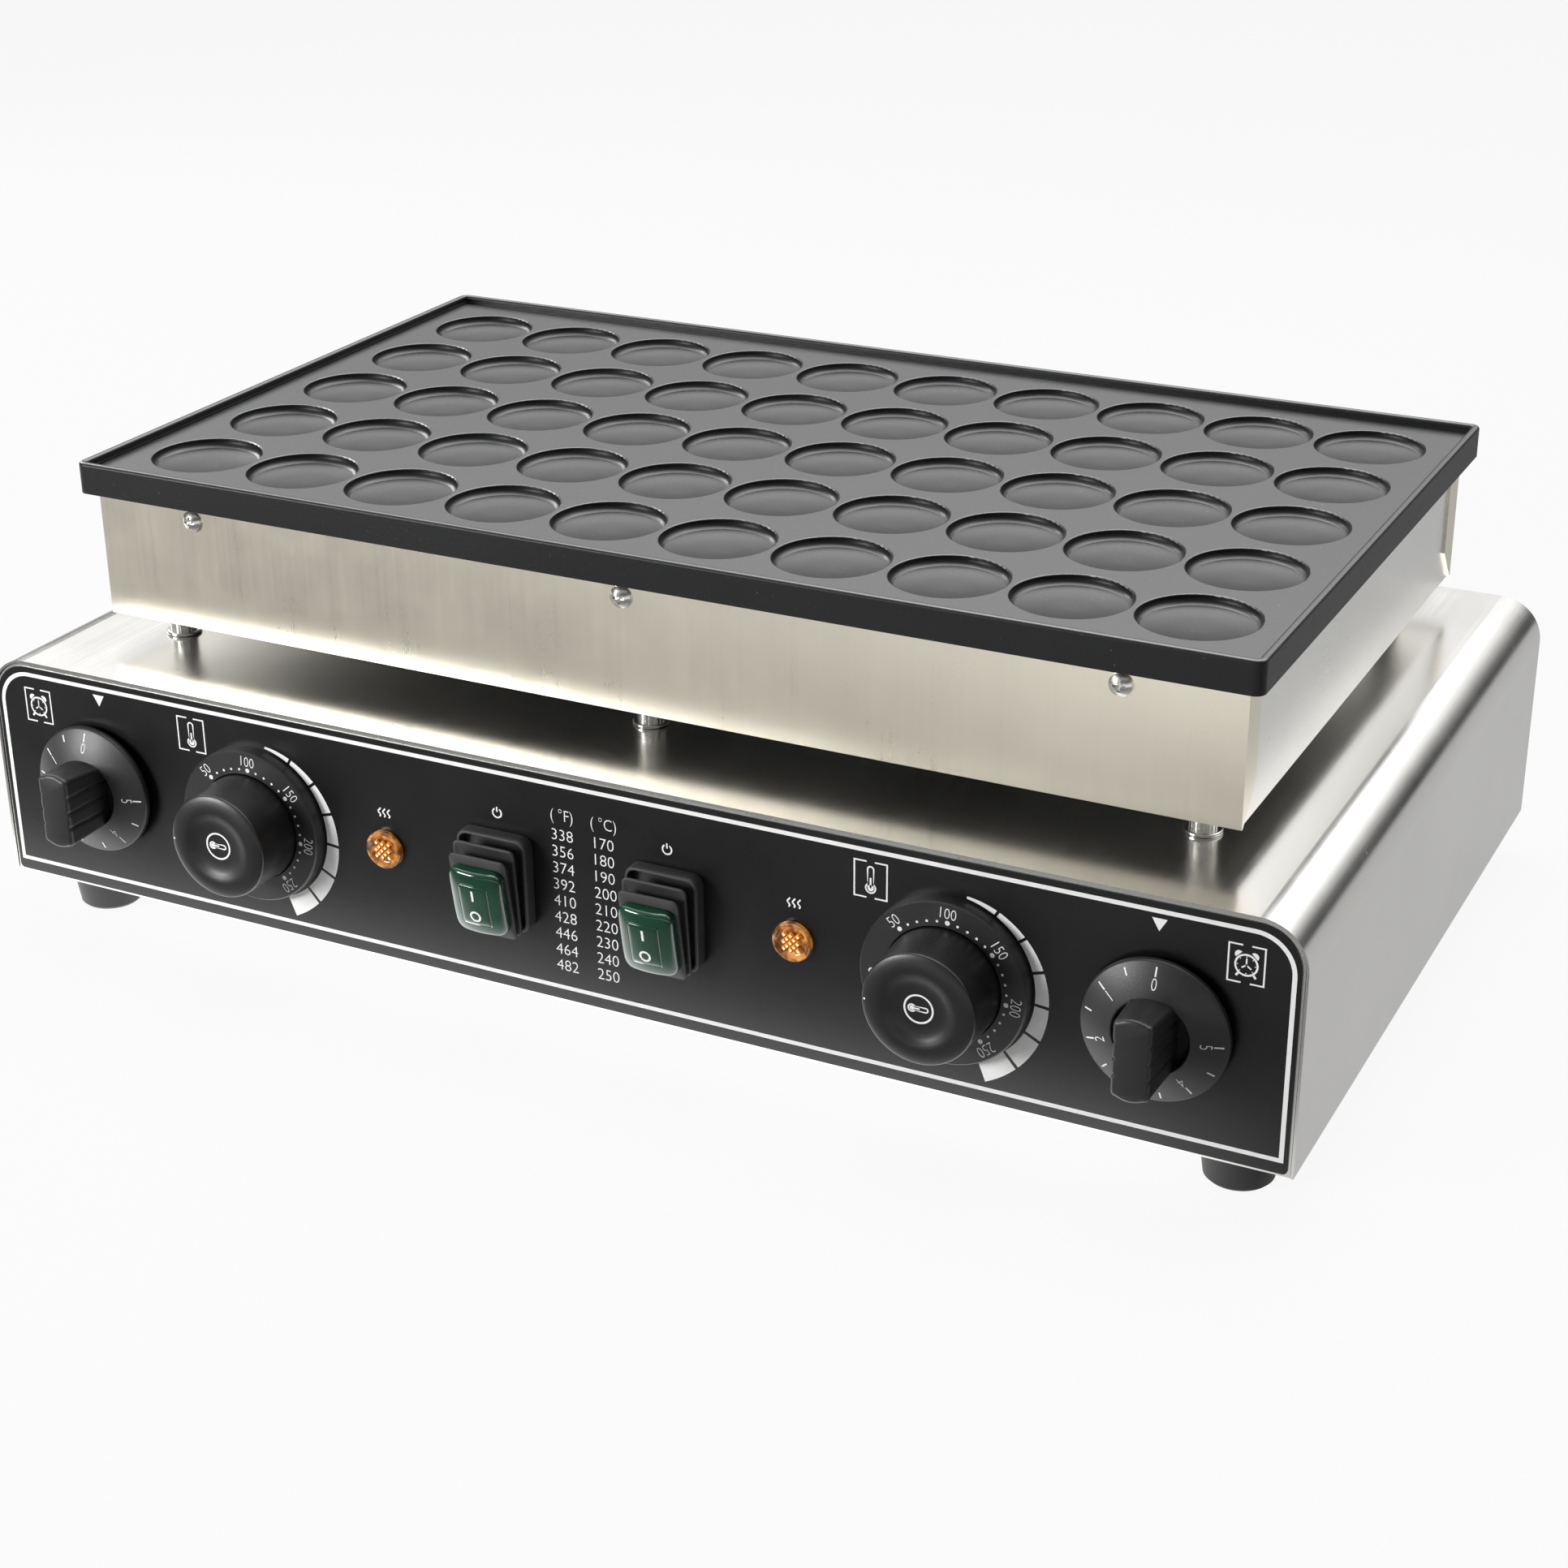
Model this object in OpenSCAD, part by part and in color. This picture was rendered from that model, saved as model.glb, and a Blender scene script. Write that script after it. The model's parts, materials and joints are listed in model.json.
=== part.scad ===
// Mini pancake maker: a cast griddle plate with rows of round dishes on a heat box,
// held on short posts over a control base whose left and right halves are switched apart.
// Millimetres. +X is right, +Y is back and +Z is up. The origin lies on the table,
// below the middle of the bounding box.

/* [Base] */
// Width of the base cover
base_w = 560; // [545:1:640]
// Depth of the base from panel face to panel face
base_d = 332; // [320:1:400]
// Height of the base cover
base_h = 97.5; // [92:0.5:120]
// Outside radius of the cover's two long bends
bend_r = 18; // [10:0.5:22]
// Thickness of the stainless sheets
sheet_t = 1; // [0.8:0.1:1.4]
// How far the cover's ends stand past the panel faces
cover_lip = 0.6; // [0.5:0.1:1.2]
// Gap round the front and rear panels
panel_gap = 0.3; // [0.2:0.05:0.5]
// Width of the bent flanges along the base's edges
flange_w = 12; // [10:0.5:16]
// Thickness of the printed front overlay
label_t = 0.5; // [0.3:0.1:0.8]
// Steel left bare round the front overlay
label_margin = 1; // [0.5:0.1:2]
// Width of a ventilation slot
vent_w = 4; // [3:0.5:5]
// Length of a ventilation slot
vent_l = 50; // [40:1:60]
// Ventilation slots in one group
vent_count = 9; // [5:1:10]

/* [Feet] */
// Height of the rubber feet
foot_h = 19; // [14:0.5:26]
// Diameter of a foot where it meets the base
foot_top_d = 31; // [27:0.5:33]
// Diameter of a foot at the table
foot_bottom_d = 26; // [20:0.5:27]
// From the base's side to a foot's axis
foot_inset_x = 27; // [26:0.5:34]
// From the panel face to a foot's axis
foot_inset_y = 26; // [25:0.5:34]

/* [Griddle plate] */
// Width of the plate over its rim
plate_w = 498; // [490:1:510]
// Depth of the plate over its rim
plate_d = 291; // [284:1:300]
// From the control panel face back to the plate's front edge
plate_setback = 29; // [24:0.5:34]
// Height of the rim's outer side
rim_h = 12.8; // [11:0.1:15]
// Width of the raised rim
rim_w = 3.2; // [3:0.1:3.3]
// How far the rim stands above the cooking face
rim_stand = 3.4; // [2.5:0.1:4.5]
// Rounding of the rim's top edges
rim_edge_r = 1.2; // [0.8:0.1:1.4]
// Plan radius of the plate's corners
plate_corner_r = 4.2; // [4.1:0.1:8]
// Thickness of the casting under the cooking face
slab_t = 14; // [12.5:0.1:16]

/* [Dishes] */
// Dishes in a row
dish_cols = 10; // [8:1:10]
// Rows of dishes
dish_rows = 5; // [4:1:5]
// Spacing of the dishes along a row
dish_pitch_x = 47.3; // [46.5:0.1:48]
// Spacing of the rows
dish_pitch_y = 53.2; // [50:0.1:54]
// Diameter of a dish
dish_d = 44.6; // [42:0.1:45]
// Depth of a dish
dish_depth = 5.8; // [5.4:0.1:7]
// Height of a dish's straight wall
dish_wall = 0.8; // [0.7:0.1:1.2]
// Rounding between a dish's wall and its bowl
dish_round = 2.8; // [2:0.1:3.2]
// Rounding of a dish's upper edge
dish_edge_r = 0.6; // [0.3:0.1:0.7]

/* [Heat box] */
// How far the heat box stands inside the plate's edge
box_inset = 6; // [5:0.5:9]
// Height of the heat box
box_h = 52.7; // [50:0.1:60]
// Width of the corner returns on the box's front and rear sheets
return_w = 13; // [7:0.5:16]
// Height of the slanted cut at the foot of a corner return
return_cut_h = 14; // [8:0.5:20]
// Diameter of the screws that hold the sheets to the plate
box_screw_d = 4; // [3:0.5:5]
// Diameter of those screws' heads
box_screw_head_d = 8.6; // [7.5:0.1:9.4]
// Distance of those screws below the plate's rim
box_screw_drop = 6.4; // [5.6:0.1:8]
// From the middle screw to an outer one
box_screw_x = 197; // [193:0.5:203]

/* [Posts] */
// Clear height between the base and the heat box
post_gap = 12.5; // [10:0.5:20]
// Diameter of the fluted posts
post_d = 10.5; // [10:0.1:12]
// Diameter of the ring under a post
post_ring_d = 14.5; // [13.5:0.1:16]
// Thickness of that ring
post_ring_t = 1.6; // [1:0.1:2.5]
// Diameter of the bolts through the posts
post_bolt_d = 6; // [5:0.5:6.5]
// From the box's sides to a post's axis
post_inset = 20; // [17:0.5:24]
// Flutes round a post
post_flutes = 20; // [12:1:22]

/* [Control layout] */
// Height of the row of controls above the base's bottom edge
control_z = 48.5; // [46:0.5:52]
// From the cover's side to a timer
timer_inset = 51; // [48:0.5:53]
// From the cover's side to a temperature dial
dial_inset = 130; // [125:0.5:132]
// From the cover's side to a lamp
lamp_inset = 191.3; // [185:0.1:198]
// From the middle to a rocker switch
switch_x = 36.7; // [32:0.1:42]

/* [Timer knob] */
// Diameter of the timer's skirt
timer_d = 54.5; // [50:0.5:58]
// Diameter of the hub at the skirt's middle
timer_hub_d = 29; // [27:0.5:32]
// Reach of the timer knob from the panel face
timer_reach = 29.5; // [24:0.5:34]
// Width of the timer's grip at its front
timer_grip_w = 14; // [9:0.5:16]
// Length of the timer's grip at its front
timer_grip_l = 32; // [26:0.5:34]

/* [Temperature dial] */
// Diameter of the numbered ring
ring_d = 64.5; // [60:0.5:70]
// Height of the numbered ring
ring_h = 6; // [5:0.1:9]
// Diameter of the temperature knob at its foot
knob_d = 44.5; // [42:0.5:48]
// Diameter of the temperature knob at its front
knob_front_d = 43.5; // [40:0.5:47]
// Reach of the temperature knob from the panel face
knob_reach = 28.5; // [24:0.5:34]
// Diameter of the hollow in the knob's front
knob_dish_d = 27; // [24:0.5:32]
// Depth of that hollow
knob_dish_depth = 2; // [1.5:0.1:3]
// Diameter of the control shafts
shaft_d = 6; // [5:0.5:7]

/* [Lamp] */
// Diameter of a lamp lens
lens_d = 15.8; // [15:0.1:20]
// Height of a lamp lens above the overlay
lens_h = 6; // [4:0.1:8]
// Diameter of a lamp's stem
lamp_stem_d = 11.8; // [10:0.1:13]
// Height of a lamp above the row of controls
lamp_rise = 0.8; // [0:0.1:2]

/* [Rocker switch] */
// Width of the rubber frame round a rocker
boot_w = 30.4; // [28:0.1:33]
// Height of that frame
boot_h = 39; // [38:0.1:42]
// Thickness of that frame
boot_t = 6; // [5.5:0.1:7]
// Width of a rocker
rocker_w = 21.2; // [19:0.1:23]
// Length of a rocker
rocker_l = 26.4; // [24:0.1:28]
// Tilt of a rocker from its middle to either stop
rocker_tilt = 10; // [6:0.5:11]
// Diameter of a rocker's pivot pins
pivot_d = 3.6; // [3:0.1:4]

/* [Heating] */
// Diameter of the tubular heating elements
element_d = 8; // [6:0.5:9]
// Thickness of the insulation on the box floor
insulation_t = 16; // [10:0.5:18]
// Diameter of a temperature probe
probe_d = 6; // [4:0.5:7]
// Length of a temperature probe
probe_l = 90; // [70:1:96]

/* [Hidden] */
$fn = 64;

// Shared clearances
cut = 1;
hole_play = 0.4;
running_play = 0.1;
moving_gap = 0.5;
touch_gap = 0.3;

// Cable gland in the rear panel
gland_inset = 90;
gland_x = gland_inset - base_w / 2;
gland_z = 32;
gland_d = 20;
gland_bore_d = 9;
gland_flats = 26;
gland_reach = 16;
gland_collar_h = 6;
gland_nut_h = 5;
gland_inside = 10;

// Places in the base, from its bottom edge and its panel face
front_reach = max(timer_reach, knob_reach);
whole_d = front_reach + base_d + gland_reach;
panel_y = front_reach - whole_d / 2;
base_z = foot_h + sheet_t;
inner_w = base_w - 2 * sheet_t;
inner_h = base_h - sheet_t;
panel_w = inner_w - 2 * panel_gap;
panel_h = inner_h - panel_gap;
panel_r = bend_r - sheet_t - panel_gap;
label_w = panel_w - 2 * label_margin;
label_h = panel_h - 2 * label_margin;
label_r = panel_r - label_margin;
label_foot_r = 2;
side_flange_end = 20;
bottom_edge = 1.5;
vent_web = 6;
vent_gap = 118;

// Bottom screws
bottom_screw_d = 3.8;
bottom_head_d = 7.6;
bottom_head_h = 2.4;
bottom_screw_l = 2 * sheet_t + 4;
panel_screw_inset = 80;
panel_screw_x = [for (share = [-1, -0.35, 0.35, 1]) share * (base_w / 2 - panel_screw_inset)];
side_screw_inset = 100;

// Feet
foot_screw_d = 4;
foot_head_d = 8;
foot_head_h = 3;
foot_recess_d = 10;
foot_recess_h = 8;
foot_chamfer = 1.2;
foot_screw_end = 5;

// Heat box and plate levels, from the base's bottom edge
box_w = plate_w - 2 * box_inset;
box_d = plate_d - 2 * box_inset;
box_y = plate_setback + box_inset;
box_z = base_h + post_gap;
box_top = box_z + box_h;
plate_y = plate_setback + plate_d / 2;
face_z = box_top + rim_h - rim_stand;
slab_z = face_z - slab_t;
slab_gap = 1.5;
bowl_join = 17;
slab_w = box_w - 4 * sheet_t - 2 * slab_gap;
slab_d = box_d - 2 * sheet_t - 2 * slab_gap;
ledge_w = 0.8;
ledge_h = 0.7;
lug_w = 16;
lug_d = 12;
lug_drop = box_screw_drop + 6;
box_screw_l = 9;
box_head_h = 2.6;
tray_w = box_w - 2 * sheet_t;
tray_d = box_d - 2 * sheet_t;

// Posts
post_clear = 9;
post_x = box_w / 2 - post_inset;
post_y = [box_y + post_inset, min(box_y + box_d - post_inset, base_d - flange_w - post_clear)];
post_places = [for (y = post_y) for (x = [-1, 0, 1]) [x * post_x, y]];
flute_r = 0.45;
bolt_head_h = 4;
bolt_flats = 10;
nut_h = 5;
bolt_end = 3;
hex_ratio = 2 / sqrt(3);

// Heating elements under the plate, one for each half
leg_y = dish_pitch_y * 1.9;
element_z = slab_z - element_d / 2;
terminal_d = 5;
terminal_l = 18;
clamp_y = dish_pitch_y * (dish_rows / 2 - 1);
clamp_x = dish_pitch_x * 2.5;
clamp_w = 14;
terminal_y = clamp_y + clamp_w / 2 + 4;
clamp_t = 2;
clamp_l = dish_pitch_x * 9;
clamp_bolt_d = 5;
clamp_bolt_in = 6;
clamp_head_h = 3.5;
clamp_flats = 8;
reflector_t = 0.6;
reflector_gap = 1;
sleeve_d = 16;
sleeve_bore = 12;
sleeve_flange_d = 22;
sleeve_flange_h = 2;
sleeve_drop = 8;
sleeve_x = dish_pitch_x * 1.5;
sleeve_y = plate_y + probe_l / 2 + 14;
capillary_d = 1.6;
capillary_bend = 4;
lead_d = 2.6;
lead_bend = 4;
lead_apart = 3;

// Controls, measured from the middle and out from the panel face
timer_x = base_w / 2 - timer_inset;
dial_x = base_w / 2 - dial_inset;
lamp_x = base_w / 2 - lamp_inset;
ring_front = label_t + ring_h;
ring_bore = knob_d + 2 * moving_gap;
ring_bevel = 0.6;
ring_peg_d = 3;
ring_peg_l = 5;
ring_peg_r = (ring_d + ring_bore) / 4;
knob_back = label_t + 2.6;
knob_edge_r = 1.8;
knob_bore_end = knob_reach - 6.5;
mark_w = 1.2;
mark_l = 7;
mark_depth = 0.5;
timer_bore_end = timer_reach - 7.5;
skirt_h = 2.8;
hub_h = 7.4;
grip_spread_w = 3.6;
grip_spread_l = -3.6;
well_depth = 4.6;
well_lean = 0.8;
groove_w = 0.9;
groove_depth = 0.6;
groove_pitch = 6.5;
groove_foot = 5;
bushing_d = 9.6;
bushing_reach = label_t + 1.6;
shaft_in = 12;
thermostat_size = [44, 40, 34];
timer_size = [44, 44, 36];
control_screw_r = 14;
control_screw_d = 3.6;
control_head_d = 6.6;
control_head_h = 1.8;
control_screw_l = 6;

// Lamps
lens_rim_h = 2;
lamp_stem_l = 7;
holder_d = 16;
holder_l = 24;

// Rocker switches
housing_w = 21.6;
housing_h = 30;
housing_l = 26;
housing_flange_w = 25.4;
housing_flange_h = 35.4;
housing_flange_t = 2;
cavity_w = 18;
cavity_h = 27;
cavity_l = 14;
pivot_in = 4;
stem_w = 16;
stem_h = 18;
stem_r = 5;
head_front = 20.4 + pivot_in;
head_bevel = 2.2;
boot_r = 4;
boot_hole_w = stem_w + 2 * moving_gap;
boot_hole_h = stem_h + 2 * moving_gap;
boot_fold_t = 1.3;
boot_neck_w = boot_hole_w + 3.6;
boot_neck_h = boot_hole_h + 6;
boot_steps = [[0.5, 10.4, boot_w - 3.6, boot_h - 1.5], [1, 14, boot_w - 5.5, boot_h - 3.5]];
head_back = boot_steps[1][1] + pivot_in + touch_gap;

// Terminal block
block_size = [64, 22, 20];
block_screw_d = 4;
block_ways = 5;
block_pitch = 11;
block_y = sleeve_y - lead_apart;

// Stands a shape of the base's own frame in the part's frame
module place() {
    translate([0, panel_y, base_z]) children();
}

// Extrudes an outline of the X-Z plane from y0 to y1
module extrude_y(y0, y1) {
    translate([0, y1, 0]) rotate([90, 0, 0]) linear_extrude(y1 - y0) children();
}

// Stands a shape on the control panel, with its own Z pointing out of the panel
module on_panel(x) {
    translate([x, 0, control_z]) rotate([90, 0, 0]) children();
}

module round_rect(w, h, r) {
    square([w - 2 * r, h], center = true);
    square([w, h - 2 * r], center = true);
    for (x = [-1, 1]) {
        for (y = [-1, 1]) {
            translate([x * (w / 2 - r), y * (h / 2 - r)]) circle(r);
        }
    }
}

// Outline with two round top corners, standing on its bottom edge
module arch(w, h, r) {
    translate([-w / 2, 0]) square([w, h - r]);
    translate([r - w / 2, 0]) square([w - 2 * r, h]);
    for (x = [-1, 1]) {
        translate([x * (w / 2 - r), h - r]) circle(r);
    }
}

// Turns the X, Y and Z axes to the three given directions and moves the origin to a point
module frame_at(point, x, y, z) {
    multmatrix([
        [x.x, y.x, z.x, point.x],
        [x.y, y.y, z.y, point.y],
        [x.z, y.z, z.z, point.z],
        [0, 0, 0, 1]
    ]) children();
}

function way(points, i) = (points[i + 1] - points[i]) / norm(points[i + 1] - points[i]);

// Wire along straight runs that meet at right angles, with round bends between them
module wire(points, d, bend_r) {
    last = len(points) - 2;
    for (i = [0 : last]) {
        along = way(points, i);
        start = points[i] + (i > 0 ? bend_r : 0) * along;
        end = points[i + 1] - (i < last ? bend_r : 0) * along;
        side = [along.y, along.z, along.x];
        frame_at(start, side, cross(along, side), along) cylinder(d = d, h = norm(end - start));
        if (i < last) {
            next = way(points, i + 1);
            frame_at(end + bend_r * next, -next, along, cross(along, next))
                rotate_extrude(angle = 90) translate([bend_r, 0]) circle(d = d);
        }
    }
}

// Cross-head screw with its head above Z = 0 and its shank below
module pan_screw(shank_d, head_d, head_h, shank_l) {
    dome_r = head_d * 0.75;
    slot_l = head_d * 0.55;
    slot_w = head_d * 0.13;
    difference() {
        union() {
            rotate_extrude() intersection() {
                square([head_d / 2, head_h]);
                translate([0, head_h - dome_r]) circle(dome_r);
            }
            translate([0, 0, -shank_l]) cylinder(d = shank_d, h = shank_l + head_h / 2);
        }
        for (turn = [0, 90]) {
            rotate([0, 0, turn]) translate([-slot_l / 2, -slot_w / 2, head_h / 2])
                cube([slot_l, slot_w, head_h]);
        }
    }
}

module hex_prism(flats, h) {
    cylinder(d = flats * hex_ratio, h = h, $fn = 6);
}

// Holes through the overlay and the front panel for all the controls
module control_holes(depth) {
    for (s = [-1, 1]) {
        on_panel(s * timer_x) panel_bushing_holes(depth);
        on_panel(s * dial_x) {
            panel_bushing_holes(depth);
            for (p = [-1, 1]) {
                translate([p * ring_peg_r, 0, -depth]) cylinder(d = ring_peg_d + hole_play, h = 2 * depth);
            }
        }
        on_panel(s * lamp_x) translate([0, lamp_rise, -depth])
            cylinder(d = lamp_stem_d + hole_play, h = 2 * depth);
        on_panel(s * switch_x) translate([0, 0, -depth]) linear_extrude(2 * depth)
            square([housing_w + hole_play, housing_h + hole_play], center = true);
    }
}

module panel_bushing_holes(depth) {
    translate([0, 0, -depth]) cylinder(d = bushing_d + hole_play, h = 2 * depth);
    for (p = [-1, 1]) {
        translate([0, p * control_screw_r, -depth])
            cylinder(d = control_screw_d + hole_play, h = 2 * depth);
    }
}

module base_cover() {
    color("silver") place() difference() {
        union() {
            difference() {
                extrude_y(-cover_lip, base_d + cover_lip) arch(base_w, base_h, bend_r);
                extrude_y(-cover_lip - cut, base_d + cover_lip + cut) translate([0, -cut])
                    arch(inner_w, inner_h + cut, bend_r - sheet_t);
            }
            for (s = [-1, 1]) {
                translate([s * (base_w - flange_w) / 2, base_d / 2, sheet_t / 2])
                    cube([flange_w, base_d - 2 * side_flange_end, sheet_t], center = true);
            }
        }
        for (p = post_places) {
            translate([p.x, p.y, inner_h - cut])
                cylinder(d = post_bolt_d + hole_play, h = sheet_t + 2 * cut);
        }
        for (s = [-1, 1]) {
            translate([s * sleeve_x, sleeve_y, inner_h - cut])
                cylinder(d = sleeve_d + hole_play, h = sheet_t + 2 * cut);
        }
        bottom_screw_holes();
    }
}

// Sheet of a panel with flanges bent to the inside, standing at Y = 0 and reaching to +Y
module flanged_panel() {
    difference() {
        extrude_y(0, flange_w) arch(panel_w, panel_h, panel_r);
        extrude_y(sheet_t, flange_w + cut) translate([0, sheet_t])
            arch(panel_w - 2 * sheet_t, panel_h - 2 * sheet_t, panel_r - sheet_t);
    }
}

module front_panel() {
    color("gainsboro") place() difference() {
        flanged_panel();
        control_holes(sheet_t + cut);
        bottom_screw_holes();
    }
}

module control_label() {
    color([0.13, 0.13, 0.14]) place() difference() {
        translate([0, 0, label_margin]) extrude_y(-label_t, 0) difference() {
            arch(label_w, label_h, label_r);
            for (s = [-1, 1]) {
                translate([s * label_w / 2, 0]) difference() {
                    square(2 * label_foot_r, center = true);
                    translate([-s * label_foot_r, label_foot_r]) circle(label_foot_r);
                }
            }
        }
        control_holes(sheet_t + cut);
    }
}

module rear_panel() {
    color("gainsboro") place() difference() {
        translate([0, base_d, 0]) mirror([0, 1, 0]) flanged_panel();
        translate([gland_x, base_d - 2 * sheet_t, gland_z]) rotate([-90, 0, 0])
            cylinder(d = gland_d + hole_play, h = 4 * sheet_t);
        vent_row() translate([0, base_d, control_z]) cube([vent_w, 4 * sheet_t, vent_l], center = true);
        bottom_screw_holes();
    }
}

// Two groups of slots beside each other
module vent_row() {
    slot_pitch = vent_w + vent_web;
    for (s = [-1, 1]) {
        for (i = [0 : vent_count - 1]) {
            translate([s * (vent_gap / 2 + (i + 0.5) * slot_pitch), 0, 0]) children();
        }
    }
}

module bottom_plate() {
    color("darkgray") place() difference() {
        translate([bottom_edge - base_w / 2, bottom_edge, -sheet_t])
            cube([base_w - 2 * bottom_edge, base_d - 2 * bottom_edge, sheet_t]);
        vent_row() translate([0, base_d / 2, -sheet_t / 2])
            cube([vent_w, vent_l, 2 * sheet_t], center = true);
        bottom_screw_holes();
        each_foot() translate([0, 0, -sheet_t - cut])
            cylinder(d = foot_screw_d + hole_play, h = sheet_t + 2 * cut);
    }
}

// Screws from below into the panel flanges and the cover's flanges
module each_bottom_screw() {
    for (x = panel_screw_x) {
        for (y = [flange_w / 2 + sheet_t / 2, base_d - flange_w / 2 - sheet_t / 2]) {
            translate([x, y, 0]) children();
        }
    }
    for (s = [-1, 1]) {
        for (y = [side_screw_inset, base_d - side_screw_inset]) {
            translate([s * (base_w - flange_w) / 2, y, 0]) children();
        }
    }
}

module bottom_screw_holes() {
    each_bottom_screw() translate([0, 0, -sheet_t - cut])
        cylinder(d = bottom_screw_d + hole_play, h = 2 * sheet_t + 2 * cut);
}

module bottom_screws() {
    color("silver") place() each_bottom_screw() translate([0, 0, -sheet_t]) rotate([180, 0, 0])
        pan_screw(bottom_screw_d, bottom_head_d, bottom_head_h, bottom_screw_l);
}

module each_foot() {
    for (x = [-1, 1]) {
        for (y = [foot_inset_y, base_d - foot_inset_y]) {
            translate([x * (base_w / 2 - foot_inset_x), y, 0]) children();
        }
    }
}

// One rubber foot under its own corner
module foot(x, y) {
    foot_x = x * (base_w / 2 - foot_inset_x);
    foot_y = y < 0 ? foot_inset_y : base_d - foot_inset_y;
    color([0.08, 0.08, 0.08]) place() translate([foot_x, foot_y, -base_z]) rotate_extrude() difference() {
        polygon([
            [0, 0],
            [foot_bottom_d / 2 - foot_chamfer, 0],
            [foot_bottom_d / 2, foot_chamfer],
            [foot_top_d / 2, foot_h],
            [0, foot_h]
        ]);
        square([foot_recess_d / 2, foot_recess_h]);
        square([foot_screw_d / 2 + hole_play / 2, foot_h]);
    }
}

module foot_screws() {
    head_z = -sheet_t - foot_h + foot_recess_h;
    color("silver") place() each_foot() translate([0, 0, head_z]) rotate([180, 0, 0])
        pan_screw(foot_screw_d, foot_head_d, foot_head_h, foot_h - foot_recess_h + sheet_t + foot_screw_end);
}

module support_posts() {
    color("silver") place() for (p = post_places) {
        translate([p.x, p.y, base_h + post_ring_t]) difference() {
            cylinder(d = post_d, h = post_gap - post_ring_t);
            translate([0, 0, -cut]) cylinder(d = post_bolt_d + hole_play, h = post_gap + cut);
            for (i = [0 : post_flutes - 1]) {
                rotate([0, 0, i * 360 / post_flutes]) translate([post_d / 2, 0, -cut])
                    cylinder(r = flute_r, h = post_gap + cut);
            }
        }
    }
}

module post_rings() {
    color("lightgray") place() for (p = post_places) {
        translate([p.x, p.y, base_h]) rotate_extrude() difference() {
            union() {
                square([post_ring_d / 2 - post_ring_t / 2, post_ring_t]);
                translate([post_ring_d / 2 - post_ring_t / 2, post_ring_t / 2]) circle(d = post_ring_t);
            }
            translate([0, -cut]) square([(post_bolt_d + hole_play) / 2, post_ring_t + 2 * cut]);
        }
    }
}

module post_bolts() {
    shank_l = post_gap + 2 * sheet_t + nut_h + bolt_end;
    color("silver") place() for (p = post_places) {
        translate([p.x, p.y, box_z + sheet_t]) {
            hex_prism(bolt_flats, bolt_head_h);
            translate([0, 0, -shank_l]) cylinder(d = post_bolt_d, h = shank_l + bolt_head_h / 2);
        }
    }
}

module post_nuts() {
    color("silver") place() for (p = post_places) {
        translate([p.x, p.y, inner_h - nut_h]) difference() {
            hex_prism(bolt_flats, nut_h);
            translate([0, 0, -cut]) cylinder(d = post_bolt_d + running_play, h = nut_h + 2 * cut);
        }
    }
}

// Floor and two sides of the heat box, one bent sheet
module box_tray() {
    color("silver") place() difference() {
        translate([-tray_w / 2, box_y + sheet_t, box_z]) cube([tray_w, tray_d, box_h]);
        translate([-tray_w / 2 + sheet_t, box_y + sheet_t - cut, box_z + sheet_t])
            cube([tray_w - 2 * sheet_t, tray_d + 2 * cut, box_h]);
        for (p = post_places) {
            translate([p.x, p.y, box_z - cut]) cylinder(d = post_bolt_d + hole_play, h = sheet_t + 2 * cut);
        }
        for (s = [-1, 1]) {
            translate([s * sleeve_x, sleeve_y, box_z - cut])
                cylinder(d = sleeve_d + hole_play, h = sheet_t + 2 * cut);
        }
    }
}

// Front sheet of the heat box with its two corner returns, standing at Y = 0
module box_sheet() {
    difference() {
        union() {
            translate([-box_w / 2, 0, 0]) cube([box_w, sheet_t, box_h]);
            for (s = [-1, 1]) {
                translate([s * (box_w - sheet_t) / 2 - sheet_t / 2, 0, 0]) rotate([90, 0, 90])
                    linear_extrude(sheet_t)
                    polygon([[0, 0], [sheet_t, 0], [return_w, return_cut_h], [return_w, box_h], [0, box_h]]);
            }
        }
        for (x = [-1, 0, 1]) {
            translate([x * box_screw_x, -cut, box_h - box_screw_drop]) rotate([-90, 0, 0])
                cylinder(d = box_screw_d + hole_play, h = sheet_t + 2 * cut);
        }
    }
}

module box_front() {
    color([0.78, 0.76, 0.7]) place() translate([0, box_y, box_z]) box_sheet();
}

module box_rear() {
    color([0.78, 0.76, 0.7]) place() translate([0, box_y + box_d, box_z]) mirror([0, 1, 0]) box_sheet();
}

module each_box_screw() {
    for (s = [-1, 1]) {
        for (x = [-1, 0, 1]) {
            translate([x * box_screw_x, box_y + box_d / 2 + s * box_d / 2, box_top - box_screw_drop])
                rotate([-s * 90, 0, 0]) children();
        }
    }
}

module box_screws() {
    color("silver") place() each_box_screw()
        pan_screw(box_screw_d, box_screw_head_d, box_head_h, box_screw_l);
}

// Section of the plate's rim, from the corner's axis outwards
module rim_section() {
    square([plate_corner_r, rim_h - rim_stand]);
    translate([plate_corner_r - rim_w - ledge_w, 0])
        square([ledge_w + rim_w / 2, rim_h - rim_stand + ledge_h]);
    translate([plate_corner_r - rim_w, 0]) square([rim_w, rim_h - rim_edge_r]);
    translate([plate_corner_r - rim_w + rim_edge_r, 0]) square([rim_w - 2 * rim_edge_r, rim_h]);
    for (x = [plate_corner_r - rim_w + rim_edge_r, plate_corner_r - rim_edge_r]) {
        translate([x, rim_h - rim_edge_r]) circle(rim_edge_r);
    }
}

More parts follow.
